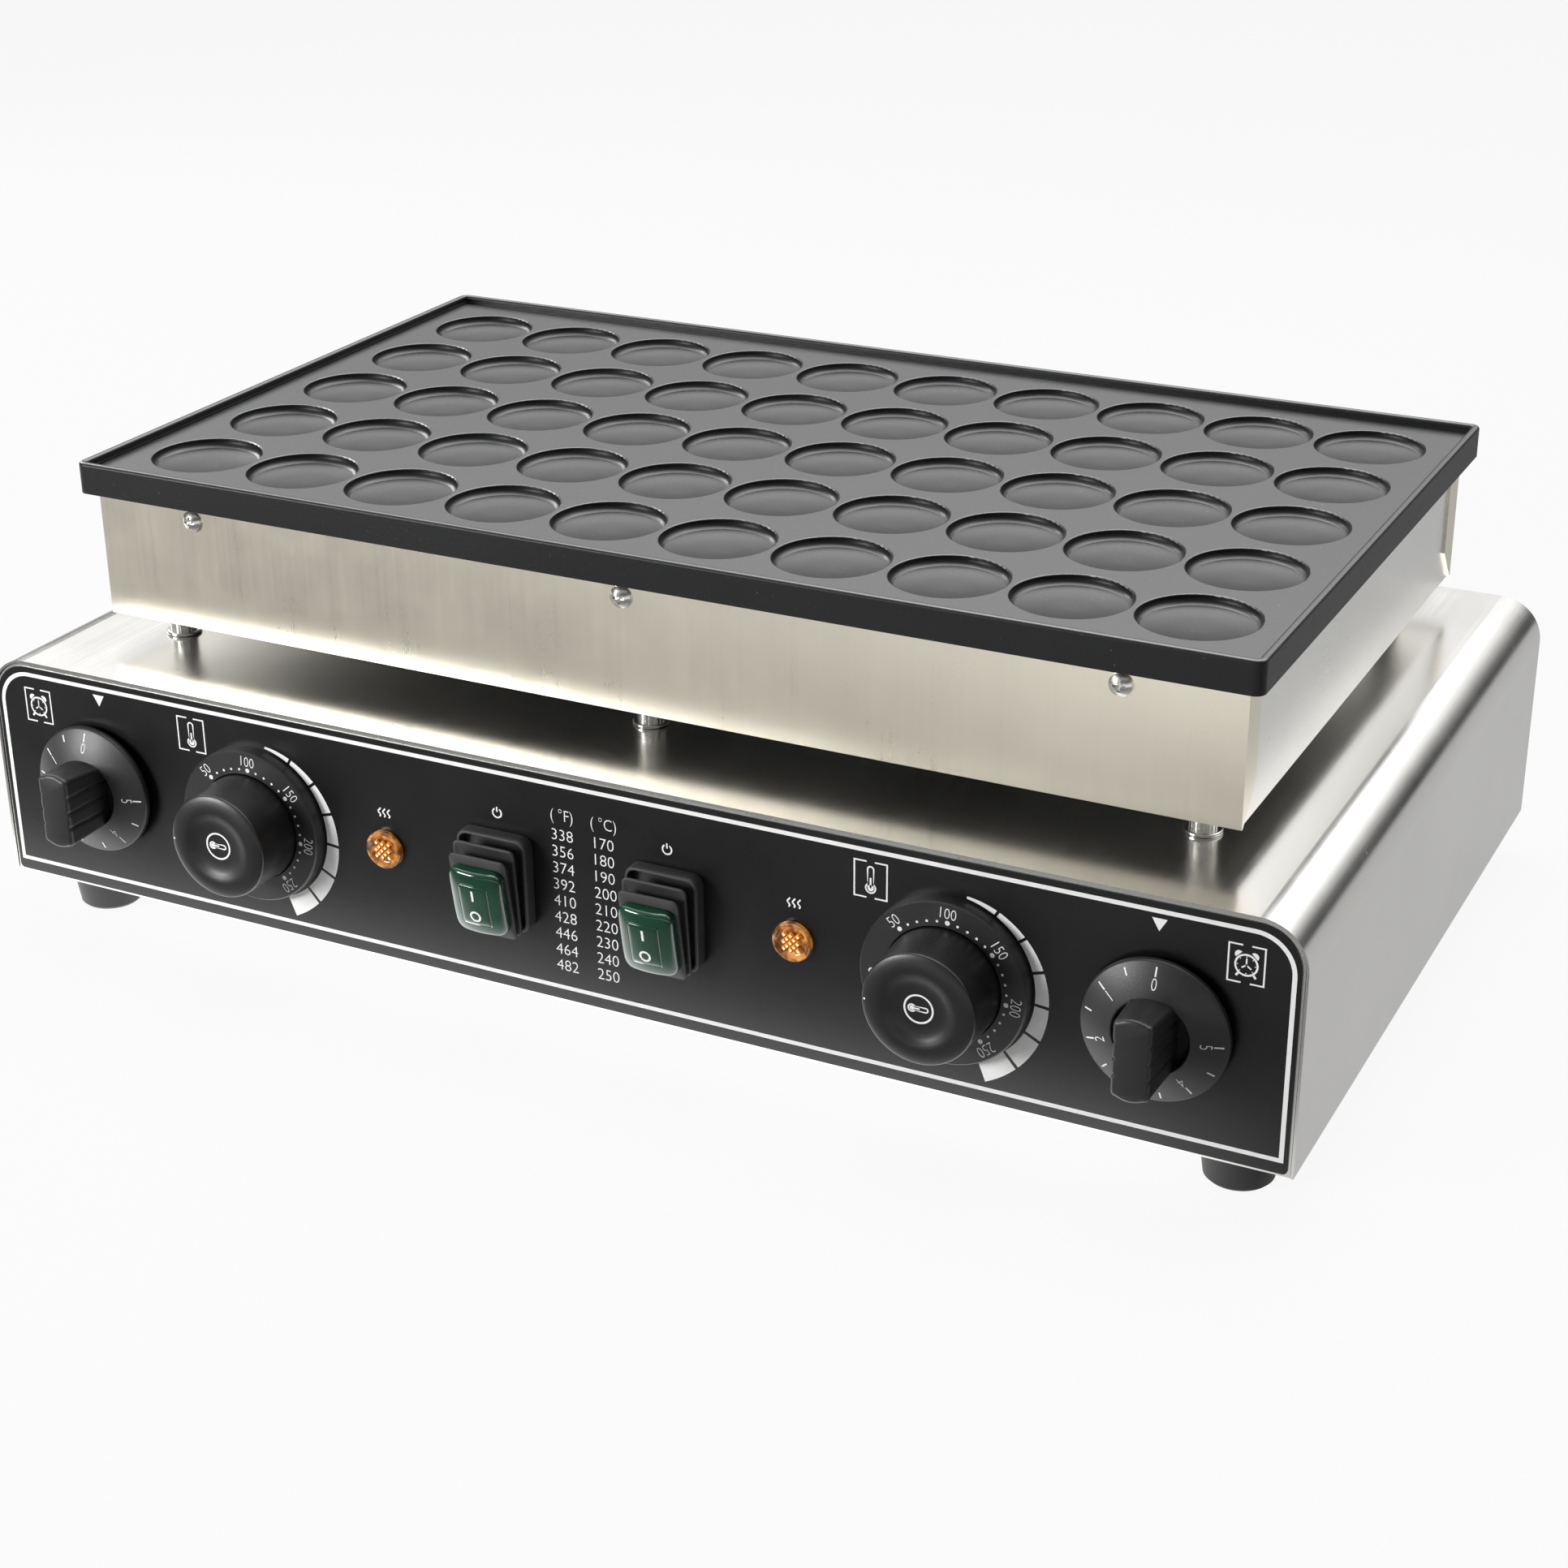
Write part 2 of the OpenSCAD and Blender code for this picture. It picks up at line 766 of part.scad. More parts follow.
module plate_rim() {
    core_w = plate_w - 2 * plate_corner_r;
    core_d = plate_d - 2 * plate_corner_r;
    translate([-core_w / 2, -core_d / 2, 0]) cube([core_w, core_d, rim_h - rim_stand]);
    for (side = [[0, core_d, core_w], [90, core_w, core_d], [180, core_d, core_w], [270, core_w, core_d]]) {
        rotate([0, 0, side[0]]) {
            translate([-side[2] / 2, side[1] / 2, 0]) rotate([90, 0, 90]) linear_extrude(side[2])
                rim_section();
            translate([side[2] / 2, side[1] / 2, 0]) rotate_extrude(angle = 90) rim_section();
        }
    }
}

// Space of one dish below the cooking face
module dish_space() {
    dish_r = dish_d / 2;
    join_r = dish_r - dish_round + dish_round * sin(bowl_join);
    join_z = -dish_wall - dish_round * cos(bowl_join);
    bowl_h = dish_depth + join_z;
    bowl_r = (join_r * join_r + bowl_h * bowl_h) / (2 * bowl_h);
    rotate_extrude() {
        translate([0, -dish_wall]) square([dish_r, dish_wall + cut]);
        intersection() {
            translate([dish_r - dish_round, -dish_wall]) circle(dish_round);
            translate([0, join_z]) square([dish_r, -dish_wall - join_z]);
        }
        intersection() {
            translate([0, bowl_r - dish_depth]) circle(bowl_r);
            translate([0, -dish_depth]) square([join_r, dish_depth - dish_wall]);
        }
        difference() {
            translate([dish_r - dish_edge_r / 2, -dish_edge_r])
                square([1.5 * dish_edge_r, dish_edge_r + cut]);
            translate([dish_r + dish_edge_r, -dish_edge_r]) circle(dish_edge_r);
        }
    }
}

module griddle_plate() {
    color([0.2, 0.2, 0.21]) place() difference() {
        translate([0, plate_y, 0]) {
            translate([0, 0, box_top]) plate_rim();
            translate([-slab_w / 2, -slab_d / 2, slab_z]) cube([slab_w, slab_d, slab_t]);
            for (s = [-1, 1]) {
                for (x = [-1, 0, 1]) {
                    translate([
                        x * box_screw_x - lug_w / 2,
                        s * (tray_d / 2 - lug_d / 2) - lug_d / 2,
                        box_top - lug_drop
                    ]) cube([lug_w, lug_d, lug_drop + cut]);
                }
            }
        }
        for (row = [0 : dish_rows - 1]) {
            for (col = [0 : dish_cols - 1]) {
                translate([
                    (col - (dish_cols - 1) / 2) * dish_pitch_x,
                    plate_y + (row - (dish_rows - 1) / 2) * dish_pitch_y,
                    face_z
                ]) dish_space();
            }
        }
        each_box_screw() translate([0, 0, -box_screw_l - cut])
            cylinder(d = box_screw_d + running_play, h = box_screw_l + cut);
        each_clamp_bolt() translate([0, 0, -cut])
            cylinder(d = clamp_bolt_d + running_play, h = clamp_bolt_in + cut);
    }
}

// Tubular element of one half: four legs joined by three bends
module heating_element(s) {
    color([0.45, 0.44, 0.42]) place() translate([0, plate_y, element_z]) for (leg = [1 : 4]) {
        foot_y = leg == 1 || leg == 4 ? -terminal_y : -leg_y;
        translate([s * leg * dish_pitch_x, foot_y, 0]) rotate([-90, 0, 0])
            cylinder(d = element_d, h = leg_y - foot_y);
        if (leg < 4) {
            end = leg % 2 == 1 ? 1 : -1;
            translate([s * (leg + 0.5) * dish_pitch_x, end * leg_y, 0]) rotate([0, 0, end > 0 ? 0 : 180])
                rotate_extrude(angle = 180) translate([dish_pitch_x / 2, 0]) circle(d = element_d);
        }
    }
}

module element_terminals() {
    color("white") place() for (x = [-4, -1, 1, 4]) {
        translate([x * dish_pitch_x, plate_y - terminal_y, element_z]) rotate([90, 0, 0])
            cylinder(d = terminal_d, h = terminal_l);
    }
}

module clamp_bars() {
    bar_z = slab_z - element_d - clamp_t;
    color("silver") place() for (s = [-1, 1]) {
        translate([-clamp_l / 2, plate_y + s * clamp_y - clamp_w / 2, bar_z]) difference() {
            cube([clamp_l, clamp_w, clamp_t]);
            for (x = [-clamp_x, 0, clamp_x]) {
                translate([clamp_l / 2 + x, clamp_w / 2, -cut])
                    cylinder(d = clamp_bolt_d + hole_play, h = clamp_t + 2 * cut);
            }
        }
    }
}

module each_clamp_bolt() {
    for (s = [-1, 1]) {
        for (x = [-clamp_x, 0, clamp_x]) {
            translate([x, plate_y + s * clamp_y, slab_z]) children();
        }
    }
}

module clamp_bolts() {
    color("silver") place() each_clamp_bolt() {
        under = element_d + clamp_t;
        translate([0, 0, -under - clamp_head_h]) hex_prism(clamp_flats, clamp_head_h);
        translate([0, 0, -under - clamp_head_h / 2])
            cylinder(d = clamp_bolt_d, h = under + clamp_head_h / 2 + clamp_bolt_in);
    }
}

// Openings in the insulation and its cover sheet for sleeves and bolt heads
module box_floor_openings(z0, z1) {
    for (p = post_places) {
        translate([p.x, p.y, z0]) cylinder(d = bolt_flats * hex_ratio + 2, h = z1 - z0);
    }
    for (s = [-1, 1]) {
        translate([s * sleeve_x, sleeve_y, z0]) cylinder(d = sleeve_flange_d + 1, h = z1 - z0);
    }
}

module box_mat(z0, t) {
    mat_w = tray_w - 2 * sheet_t - 2 * reflector_gap;
    mat_d = tray_d - 2 * reflector_gap;
    difference() {
        translate([-mat_w / 2, plate_y - mat_d / 2, z0]) cube([mat_w, mat_d, t]);
        box_floor_openings(z0 - cut, z0 + t + cut);
    }
}

module insulation_mat() {
    color("ivory") place() box_mat(box_z + sheet_t, insulation_t);
}

module heat_reflector() {
    color("lightgray") place() box_mat(box_z + sheet_t + insulation_t, reflector_t);
}

module wire_sleeves() {
    sleeve_z = inner_h - sleeve_drop;
    flange_z = box_z + sheet_t;
    color("whitesmoke") place() for (s = [-1, 1]) {
        translate([s * sleeve_x, sleeve_y, 0]) difference() {
            union() {
                translate([0, 0, sleeve_z]) cylinder(d = sleeve_d, h = flange_z - sleeve_z + insulation_t);
                translate([0, 0, flange_z]) cylinder(d = sleeve_flange_d, h = sleeve_flange_h);
            }
            translate([0, 0, sleeve_z - cut]) cylinder(d = sleeve_bore, h = box_h + post_gap);
        }
    }
}

// Two leads from an element's ends through the sleeve to the terminal block
module element_leads(s) {
    turn_z = box_z + sheet_t + insulation_t + reflector_t + lead_d;
    end_y = plate_y - terminal_y - terminal_l;
    color("firebrick") place() for (pair = [[1, -1], [4, 1]]) {
        end_x = s * pair[0] * dish_pitch_x;
        drop_x = s * (sleeve_x + pair[1] * lead_apart);
        low_z = inner_h - 2 * sleeve_drop - (1 + pair[1]) * lead_d;
        way_x = s * block_pitch * (1.5 + pair[1] / 2);
        wire([
            [end_x, end_y, element_z],
            [end_x, end_y - 2 * lead_bend, element_z],
            [end_x, end_y - 2 * lead_bend, turn_z],
            [end_x, block_y, turn_z],
            [drop_x, block_y, turn_z],
            [drop_x, block_y, low_z],
            [way_x, block_y, low_z],
            [way_x, block_y, block_size.z]
        ], lead_d, lead_bend);
    }
}

// Body of a control behind the panel with its bushing through the panel
module control_body(size) {
    difference() {
        union() {
            translate([-size.x / 2, -size.y / 2, -sheet_t - size.z]) cube(size);
            translate([0, 0, -sheet_t - cut]) cylinder(d = bushing_d, h = sheet_t + cut + bushing_reach);
        }
        translate([0, 0, -shaft_in - touch_gap])
            cylinder(d = shaft_d + running_play, h = shaft_in + bushing_reach + cut);
        for (p = [-1, 1]) {
            translate([0, p * control_screw_r, -sheet_t - control_screw_l])
                cylinder(d = control_screw_d + running_play, h = control_screw_l + cut);
        }
    }
}

module thermostat(s) {
    color([0.9, 0.88, 0.82]) place() on_panel(s * dial_x) control_body(thermostat_size);
}

module timer(s) {
    color([0.25, 0.25, 0.27]) place() on_panel(s * timer_x) control_body(timer_size);
}

module control_screws() {
    color("silver") place() for (x = [-timer_x, -dial_x, dial_x, timer_x]) {
        on_panel(x) for (p = [-1, 1]) {
            translate([0, p * control_screw_r, label_t])
                pan_screw(control_screw_d, control_head_d, control_head_h, control_screw_l);
        }
    }
}

// Sensing bulb under the plate with its thin tube down to the thermostat
module thermostat_probe(s) {
    bulb_z = slab_z - probe_d / 2;
    bulb_y = plate_y - probe_l / 2;
    tail_y = sleeve_y + lead_apart;
    low_z = control_z + thermostat_size.y / 4;
    color("goldenrod") place() {
        translate([s * sleeve_x, bulb_y, bulb_z]) rotate([-90, 0, 0]) cylinder(d = probe_d, h = probe_l);
        wire([
            [s * sleeve_x, bulb_y + probe_l - cut, bulb_z],
            [s * sleeve_x, tail_y, bulb_z],
            [s * sleeve_x, tail_y, low_z],
            [s * dial_x, tail_y, low_z],
            [s * dial_x, sheet_t + thermostat_size.z, low_z]
        ], capillary_d, capillary_bend);
    }
}

// Fixed ring that carries the temperature numbers
module dial_ring(s) {
    color([0.12, 0.12, 0.13]) place() on_panel(s * dial_x) {
        rotate_extrude() difference() {
            polygon([
                [0, label_t],
                [ring_d / 2, label_t],
                [ring_d / 2, ring_front - ring_bevel],
                [ring_d / 2 - ring_bevel, ring_front],
                [0, ring_front]
            ]);
            square([ring_bore / 2, ring_front + cut]);
        }
        for (p = [-1, 1]) {
            translate([p * ring_peg_r, 0, label_t - ring_peg_l])
                cylinder(d = ring_peg_d, h = ring_peg_l + ring_h / 2);
        }
    }
}

module dial_knob(s) {
    front_r = knob_front_d / 2;
    dish_r = (knob_dish_d * knob_dish_d / 4 + knob_dish_depth * knob_dish_depth) / (2 * knob_dish_depth);
    color([0.1, 0.1, 0.1]) place() on_panel(s * dial_x) difference() {
        rotate_extrude() difference() {
            union() {
                polygon([
                    [0, knob_back],
                    [knob_d / 2, knob_back],
                    [front_r, knob_reach - knob_edge_r],
                    [0, knob_reach - knob_edge_r]
                ]);
                square([front_r - knob_edge_r, knob_reach]);
                translate([front_r - knob_edge_r, knob_reach - knob_edge_r]) circle(knob_edge_r);
            }
            square([knob_d, knob_back]);
            translate([0, knob_reach - knob_dish_depth + dish_r]) intersection() {
                circle(dish_r);
                translate([0, -dish_r]) square([knob_dish_d, dish_r]);
            }
        }
        cylinder(d = shaft_d + running_play, h = knob_bore_end);
        translate([-front_r - mark_depth, -mark_w / 2, knob_reach - mark_l])
            cube([2 * mark_depth, mark_w, mark_l + cut]);
    }
}

module dial_shaft(s) {
    color("silver") place() on_panel(s * dial_x) translate([0, 0, -shaft_in])
        cylinder(d = shaft_d, h = shaft_in + knob_bore_end);
}

// Skirted knob with a tapered bar grip
module timer_knob(s) {
    grip_h = timer_reach - knob_back;
    color([0.1, 0.1, 0.1]) place() on_panel(s * timer_x) difference() {
        union() {
            rotate_extrude() polygon([
                [0, knob_back],
                [timer_d / 2, knob_back],
                [timer_d / 2, knob_back + skirt_h],
                [timer_hub_d / 2, knob_back + hub_h],
                [timer_hub_d / 2 - well_lean, knob_back + hub_h - well_depth],
                [0, knob_back + hub_h - well_depth]
            ]);
            translate([0, 0, knob_back]) intersection() {
                rotate([90, 0, 0]) linear_extrude(2 * timer_grip_l, center = true) polygon([
                    [-timer_grip_w / 2 - grip_spread_w / 2, 0],
                    [timer_grip_w / 2 + grip_spread_w / 2, 0],
                    [timer_grip_w / 2, grip_h],
                    [-timer_grip_w / 2, grip_h]
                ]);
                rotate([90, 0, 90]) linear_extrude(2 * timer_grip_l, center = true) polygon([
                    [-timer_grip_l / 2 - grip_spread_l / 2, 0],
                    [timer_grip_l / 2 + grip_spread_l / 2, 0],
                    [timer_grip_l / 2, grip_h],
                    [-timer_grip_l / 2, grip_h]
                ]);
            }
        }
        cylinder(d = shaft_d + running_play, h = timer_bore_end);
        lean = atan(grip_spread_w / 2 / grip_h);
        for (side = [-1, 1]) {
            for (i = [-1, 0, 1]) {
                translate([side * timer_grip_w / 2, i * groove_pitch - groove_w / 2, timer_reach])
                    rotate([0, -side * lean, 0])
                    translate([-groove_depth, 0, hub_h + groove_foot - grip_h])
                    cube([2 * groove_depth, groove_w, grip_h]);
            }
        }
    }
}

module timer_shaft(s) {
    color("silver") place() on_panel(s * timer_x) translate([0, 0, -shaft_in])
        cylinder(d = shaft_d, h = shaft_in + timer_bore_end);
}

module switch_housing(s) {
    color([0.1, 0.1, 0.1]) place() on_panel(s * switch_x) difference() {
        union() {
            translate([0, 0, label_t]) linear_extrude(housing_flange_t)
                square([housing_flange_w, housing_flange_h], center = true);
            translate([0, 0, -housing_l]) linear_extrude(housing_l + label_t + cut)
                square([housing_w, housing_h], center = true);
        }
        translate([0, 0, -cavity_l]) linear_extrude(cavity_l + housing_flange_t + 2 * cut)
            square([cavity_w, cavity_h], center = true);
        translate([0, 0, -pivot_in]) rotate([0, 90, 0])
            cylinder(d = pivot_d + running_play, h = housing_w + 2 * cut, center = true);
    }
}

// Turns a shape about the rocker's pivot, top outwards
module tilted(angle) {
    translate([0, 0, -pivot_in]) rotate([angle, 0, 0]) children();
}

// Rocker with bevelled front, resting with its lower end pressed
module rocker(s) {
    pin_l = housing_w - 2 * moving_gap;
    color([0.02, 0.35, 0.2]) place() on_panel(s * switch_x) tilted(rocker_tilt) {
        rotate([0, 90, 0]) cylinder(d = pivot_d, h = pin_l, center = true);
        rotate([0, 90, 0]) cylinder(r = stem_r, h = stem_w, center = true);
        linear_extrude(head_back + cut) square([stem_w, stem_h], center = true);
        intersection() {
            rotate([90, 0, 0]) linear_extrude(2 * rocker_l, center = true) head_section(rocker_w);
            rotate([90, 0, 90]) linear_extrude(2 * rocker_l, center = true) head_section(rocker_l);
        }
    }
}

// Side view of the rocker's head: straight flanks, then a bevel up to the front
module head_section(w) {
    polygon([
        [-w / 2, head_back],
        [w / 2, head_back],
        [w / 2, head_front - head_bevel],
        [w / 2 - head_bevel, head_front],
        [head_bevel - w / 2, head_front],
        [-w / 2, head_front - head_bevel]
    ]);
}

// Rubber frame with two bellows folds that lean with the rocker
module switch_boot(s) {
    color([0.07, 0.07, 0.07]) place() on_panel(s * switch_x) difference() {
        union() {
            translate([0, 0, label_t]) linear_extrude(boot_t) round_rect(boot_w, boot_h, boot_r);
            tilted(rocker_tilt * 0.5) translate([0, 0, boot_t / 2 + pivot_in])
                linear_extrude(boot_steps[0][1] - boot_t / 2)
                    round_rect(boot_neck_w, boot_neck_h, boot_r / 2);
            tilted(rocker_tilt) translate([0, 0, boot_steps[0][1] + pivot_in - boot_fold_t])
                linear_extrude(boot_steps[1][1] - boot_steps[0][1] + boot_fold_t)
                round_rect(boot_neck_w, boot_neck_h, boot_r / 2);
            for (step = boot_steps) {
                tilted(rocker_tilt * step[0]) translate([0, 0, step[1] + pivot_in - boot_fold_t])
                    linear_extrude(boot_fold_t) round_rect(step[2], step[3], boot_r * 0.6);
            }
        }
        translate([0, 0, label_t - cut]) linear_extrude(housing_flange_t + cut + touch_gap)
            square([housing_flange_w + 2 * touch_gap, housing_flange_h + 2 * touch_gap], center = true);
        tilted(rocker_tilt) translate([0, 0, -cut]) linear_extrude(2 * head_front)
            square([boot_hole_w, boot_hole_h], center = true);
    }
}

module lamp_lens(s) {
    dome_h = lens_h - lens_rim_h;
    dome_r = (lens_d * lens_d / 4 + dome_h * dome_h) / (2 * dome_h);
    color([0.95, 0.6, 0.1]) place() on_panel(s * lamp_x) translate([0, lamp_rise, 0]) {
        translate([0, 0, label_t]) rotate_extrude() {
            square([lens_d / 2, lens_rim_h]);
            intersection() {
                translate([0, lens_rim_h]) square([lens_d / 2, dome_h]);
                translate([0, lens_h - dome_r]) circle(dome_r);
            }
        }
        translate([0, 0, -sheet_t - lamp_stem_l])
            cylinder(d = lamp_stem_d, h = sheet_t + lamp_stem_l + label_t + cut);
    }
}

module lamp_holders() {
    color("whitesmoke") place() for (s = [-1, 1]) {
        on_panel(s * lamp_x) translate([0, lamp_rise, 0]) difference() {
            translate([0, 0, -sheet_t - holder_l]) cylinder(d = holder_d, h = holder_l);
            translate([0, 0, -sheet_t - lamp_stem_l])
                cylinder(d = lamp_stem_d + running_play, h = lamp_stem_l + cut);
        }
    }
}

module terminal_block() {
    color("ivory") place() translate([0, block_y, 0]) difference() {
        translate([-block_size.x / 2, -block_size.y / 2, 0]) cube(block_size);
        for (i = [0 : block_ways - 1]) {
            translate([(i - (block_ways - 1) / 2) * block_pitch, block_size.y / 4, block_size.z / 2])
                cylinder(d = block_screw_d, h = block_size.z);
        }
    }
}

// Gland that the supply lead would pass through
module cable_gland() {
    color([0.1, 0.1, 0.1]) place() translate([gland_x, base_d, gland_z]) rotate([-90, 0, 0]) difference() {
        union() {
            hex_prism(gland_flats, gland_collar_h);
            cylinder(d1 = gland_d + 2, d2 = gland_d - 4, h = gland_reach);
            translate([0, 0, -sheet_t - gland_inside])
                cylinder(d = gland_d, h = sheet_t + gland_inside + cut);
        }
        translate([0, 0, -sheet_t - gland_inside - cut])
            cylinder(d = gland_bore_d, h = sheet_t + gland_inside + gland_reach + 2 * cut);
    }
}

module gland_nut() {
    nut_y = base_d - sheet_t - gland_nut_h;
    color([0.1, 0.1, 0.1]) place() translate([gland_x, nut_y, gland_z]) rotate([-90, 0, 0]) difference() {
        hex_prism(gland_flats, gland_nut_h);
        translate([0, 0, -cut]) cylinder(d = gland_d + running_play, h = gland_nut_h + 2 * cut);
    }
}

base_cover();
front_panel();
control_label();
rear_panel();
bottom_plate();
bottom_screws();
foot(-1, -1);  // foot_front_left
foot(1, -1);  // foot_front_right
foot(-1, 1);  // foot_rear_left
foot(1, 1);  // foot_rear_right
foot_screws();
support_posts();
post_rings();
post_bolts();
post_nuts();
box_tray();
box_front();
box_rear();
box_screws();
griddle_plate();
heating_element(-1);  // heating_element_left
heating_element(1);  // heating_element_right
element_terminals();
clamp_bars();
clamp_bolts();
insulation_mat();
heat_reflector();
wire_sleeves();
element_leads(-1);  // element_leads_left
element_leads(1);  // element_leads_right
thermostat(-1);  // thermostat_left
thermostat(1);  // thermostat_right
thermostat_probe(-1);  // thermostat_probe_left
thermostat_probe(1);  // thermostat_probe_right
timer(-1);  // timer_left
timer(1);  // timer_right
control_screws();
dial_ring(-1);  // dial_ring_left
dial_ring(1);  // dial_ring_right
dial_knob(-1);  // dial_knob_left
dial_knob(1);  // dial_knob_right
dial_shaft(-1);  // dial_shaft_left
dial_shaft(1);  // dial_shaft_right
timer_knob(-1);  // timer_knob_left
timer_knob(1);  // timer_knob_right
timer_shaft(-1);  // timer_shaft_left
timer_shaft(1);  // timer_shaft_right
switch_housing(-1);  // switch_housing_left
switch_housing(1);  // switch_housing_right
rocker(-1);  // rocker_left
rocker(1);  // rocker_right
switch_boot(-1);  // switch_boot_left
switch_boot(1);  // switch_boot_right
lamp_lens(-1);  // lamp_lens_left
lamp_lens(1);  // lamp_lens_right
lamp_holders();
terminal_block();
cable_gland();
gland_nut();
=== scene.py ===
import json
import math

import bpy
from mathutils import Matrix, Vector


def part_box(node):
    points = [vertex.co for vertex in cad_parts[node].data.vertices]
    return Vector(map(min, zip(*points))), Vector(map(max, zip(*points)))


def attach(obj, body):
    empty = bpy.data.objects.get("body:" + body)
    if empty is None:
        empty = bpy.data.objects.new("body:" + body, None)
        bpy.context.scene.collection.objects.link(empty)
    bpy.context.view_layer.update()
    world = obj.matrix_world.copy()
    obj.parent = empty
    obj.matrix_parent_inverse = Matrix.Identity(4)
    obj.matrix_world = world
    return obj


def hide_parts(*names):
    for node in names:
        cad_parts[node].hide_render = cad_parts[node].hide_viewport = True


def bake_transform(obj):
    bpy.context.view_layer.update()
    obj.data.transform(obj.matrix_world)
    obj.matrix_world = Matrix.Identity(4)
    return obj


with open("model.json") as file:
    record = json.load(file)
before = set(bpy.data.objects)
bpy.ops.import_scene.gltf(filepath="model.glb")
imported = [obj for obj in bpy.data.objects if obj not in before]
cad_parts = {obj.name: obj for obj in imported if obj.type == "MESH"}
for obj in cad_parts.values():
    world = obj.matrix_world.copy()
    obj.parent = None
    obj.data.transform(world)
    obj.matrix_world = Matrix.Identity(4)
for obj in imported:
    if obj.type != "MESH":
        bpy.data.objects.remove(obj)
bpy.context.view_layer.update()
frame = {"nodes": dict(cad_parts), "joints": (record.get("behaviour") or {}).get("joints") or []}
nodes = frame["nodes"]
pivots = {joint["name"]: Vector(joint["pos_m"]) * 1000 for joint in frame["joints"]}
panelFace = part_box("front_panel")[0].y * 1000      # front of the panel sheet, mm
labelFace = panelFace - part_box("control_label")[0].y * 1000      # how far the overlay stands out of it
sides = ("left", "right")
print("frame loaded:", len(nodes), "nodes")


# Camera, solved from the rows of dishes, the base's edges and the control row
view = {
    "place": (0.49660, -0.97596, 0.54861),
    "right": (0.894412, 0.447186, -0.007272),
    "up": (-0.179888, 0.374584, 0.909575),
    "back": (0.409473, -0.812227, 0.415475),
    "lens": 64.85,
}
camera = bpy.data.objects.new("camera", bpy.data.cameras.new("camera"))
bpy.context.scene.collection.objects.link(camera)
for column, axis in enumerate(("right", "up", "back", "place")):
    for row in range(3):
        camera.matrix_world[row][column] = view[axis][row]
camera.data.sensor_width = 36
camera.data.lens = view["lens"]
camera.data.clip_start = 0.05
bpy.context.scene.camera = camera
bpy.context.scene.view_settings.view_transform = "Standard"
print("camera set")


# Shader sockets as values: sums and products of them add Math nodes
class Flow:
    def __init__(self, tree, socket=None):
        self.tree = tree
        self.socket = socket

    def add(self, kind, settings=None, values=None, out=0):
        node = self.tree.nodes.new(kind)
        for key, value in (settings or {}).items():
            setattr(node, key, value)
        for key, value in (values or {}).items():
            self.plug(node.inputs[key], value)
        return Flow(self.tree, node.outputs[out] if node.outputs else None)

    def plug(self, target, value):
        if isinstance(value, Flow):
            self.tree.links.new(value.socket, target)
        else:
            target.default_value = value

    def maths(self, operation, first, second=0.0):
        return self.add("ShaderNodeMath", {"operation": operation}, {0: first, 1: second})

    def clamped(self):
        return self.add("ShaderNodeMath", {"operation": "ADD", "use_clamp": True}, {0: self, 1: 0.0})

    def mix(self, factor, first, second):
        return self.add("ShaderNodeMix", {"data_type": "RGBA"}, {0: factor, 6: first, 7: second}, out=2)

    def spots(self):
        return self.add("ShaderNodeTexCoord", out=3)

    def part(self, index):
        return self.add("ShaderNodeSeparateXYZ", None, {0: self}, out=index)

    def stretched(self, x, y, z):
        return self.add("ShaderNodeMapping", {"vector_type": "POINT"}, {
            "Vector": self.spots(), "Scale": (x, y, z)})

    def noise(self, scale, detail=3.0, rough=0.5, vector=None):
        return self.add("ShaderNodeTexNoise", None, {
            "Vector": vector or self.spots(), "Scale": scale, "Detail": detail, "Roughness": rough})

    def ramp(self, low, high):
        return self.add("ShaderNodeMapRange", {"clamp": True}, {
            0: self, 1: low, 2: high, 3: 0.0, 4: 1.0})

    def bump(self, height, strength, distance):
        return self.add("ShaderNodeBump", None, {"Height": height, "Strength": strength, "Distance": distance})

    def __add__(self, other):
        return self.maths("ADD", self, other)

    def __radd__(self, other):
        return self.maths("ADD", other, self)

    def __sub__(self, other):
        return self.maths("SUBTRACT", self, other)

    def __rsub__(self, other):
        return self.maths("SUBTRACT", other, self)

    def __mul__(self, other):
        return self.maths("MULTIPLY", self, other)

    def __rmul__(self, other):
        return self.maths("MULTIPLY", other, self)

    def __pow__(self, other):
        return self.maths("POWER", self, other)


def newFinish(name, **constants):
    finish = bpy.data.materials.new(name)
    finish.use_nodes = True
    shader = finish.node_tree.nodes["Principled BSDF"]
    for key, value in constants.items():
        shader.inputs[key.replace("_", " ")].default_value = value
    return finish, Flow(finish.node_tree), shader.inputs


def shade(colour, scale):
    return tuple(min(1.0, part * scale) for part in colour) + (1.0,)


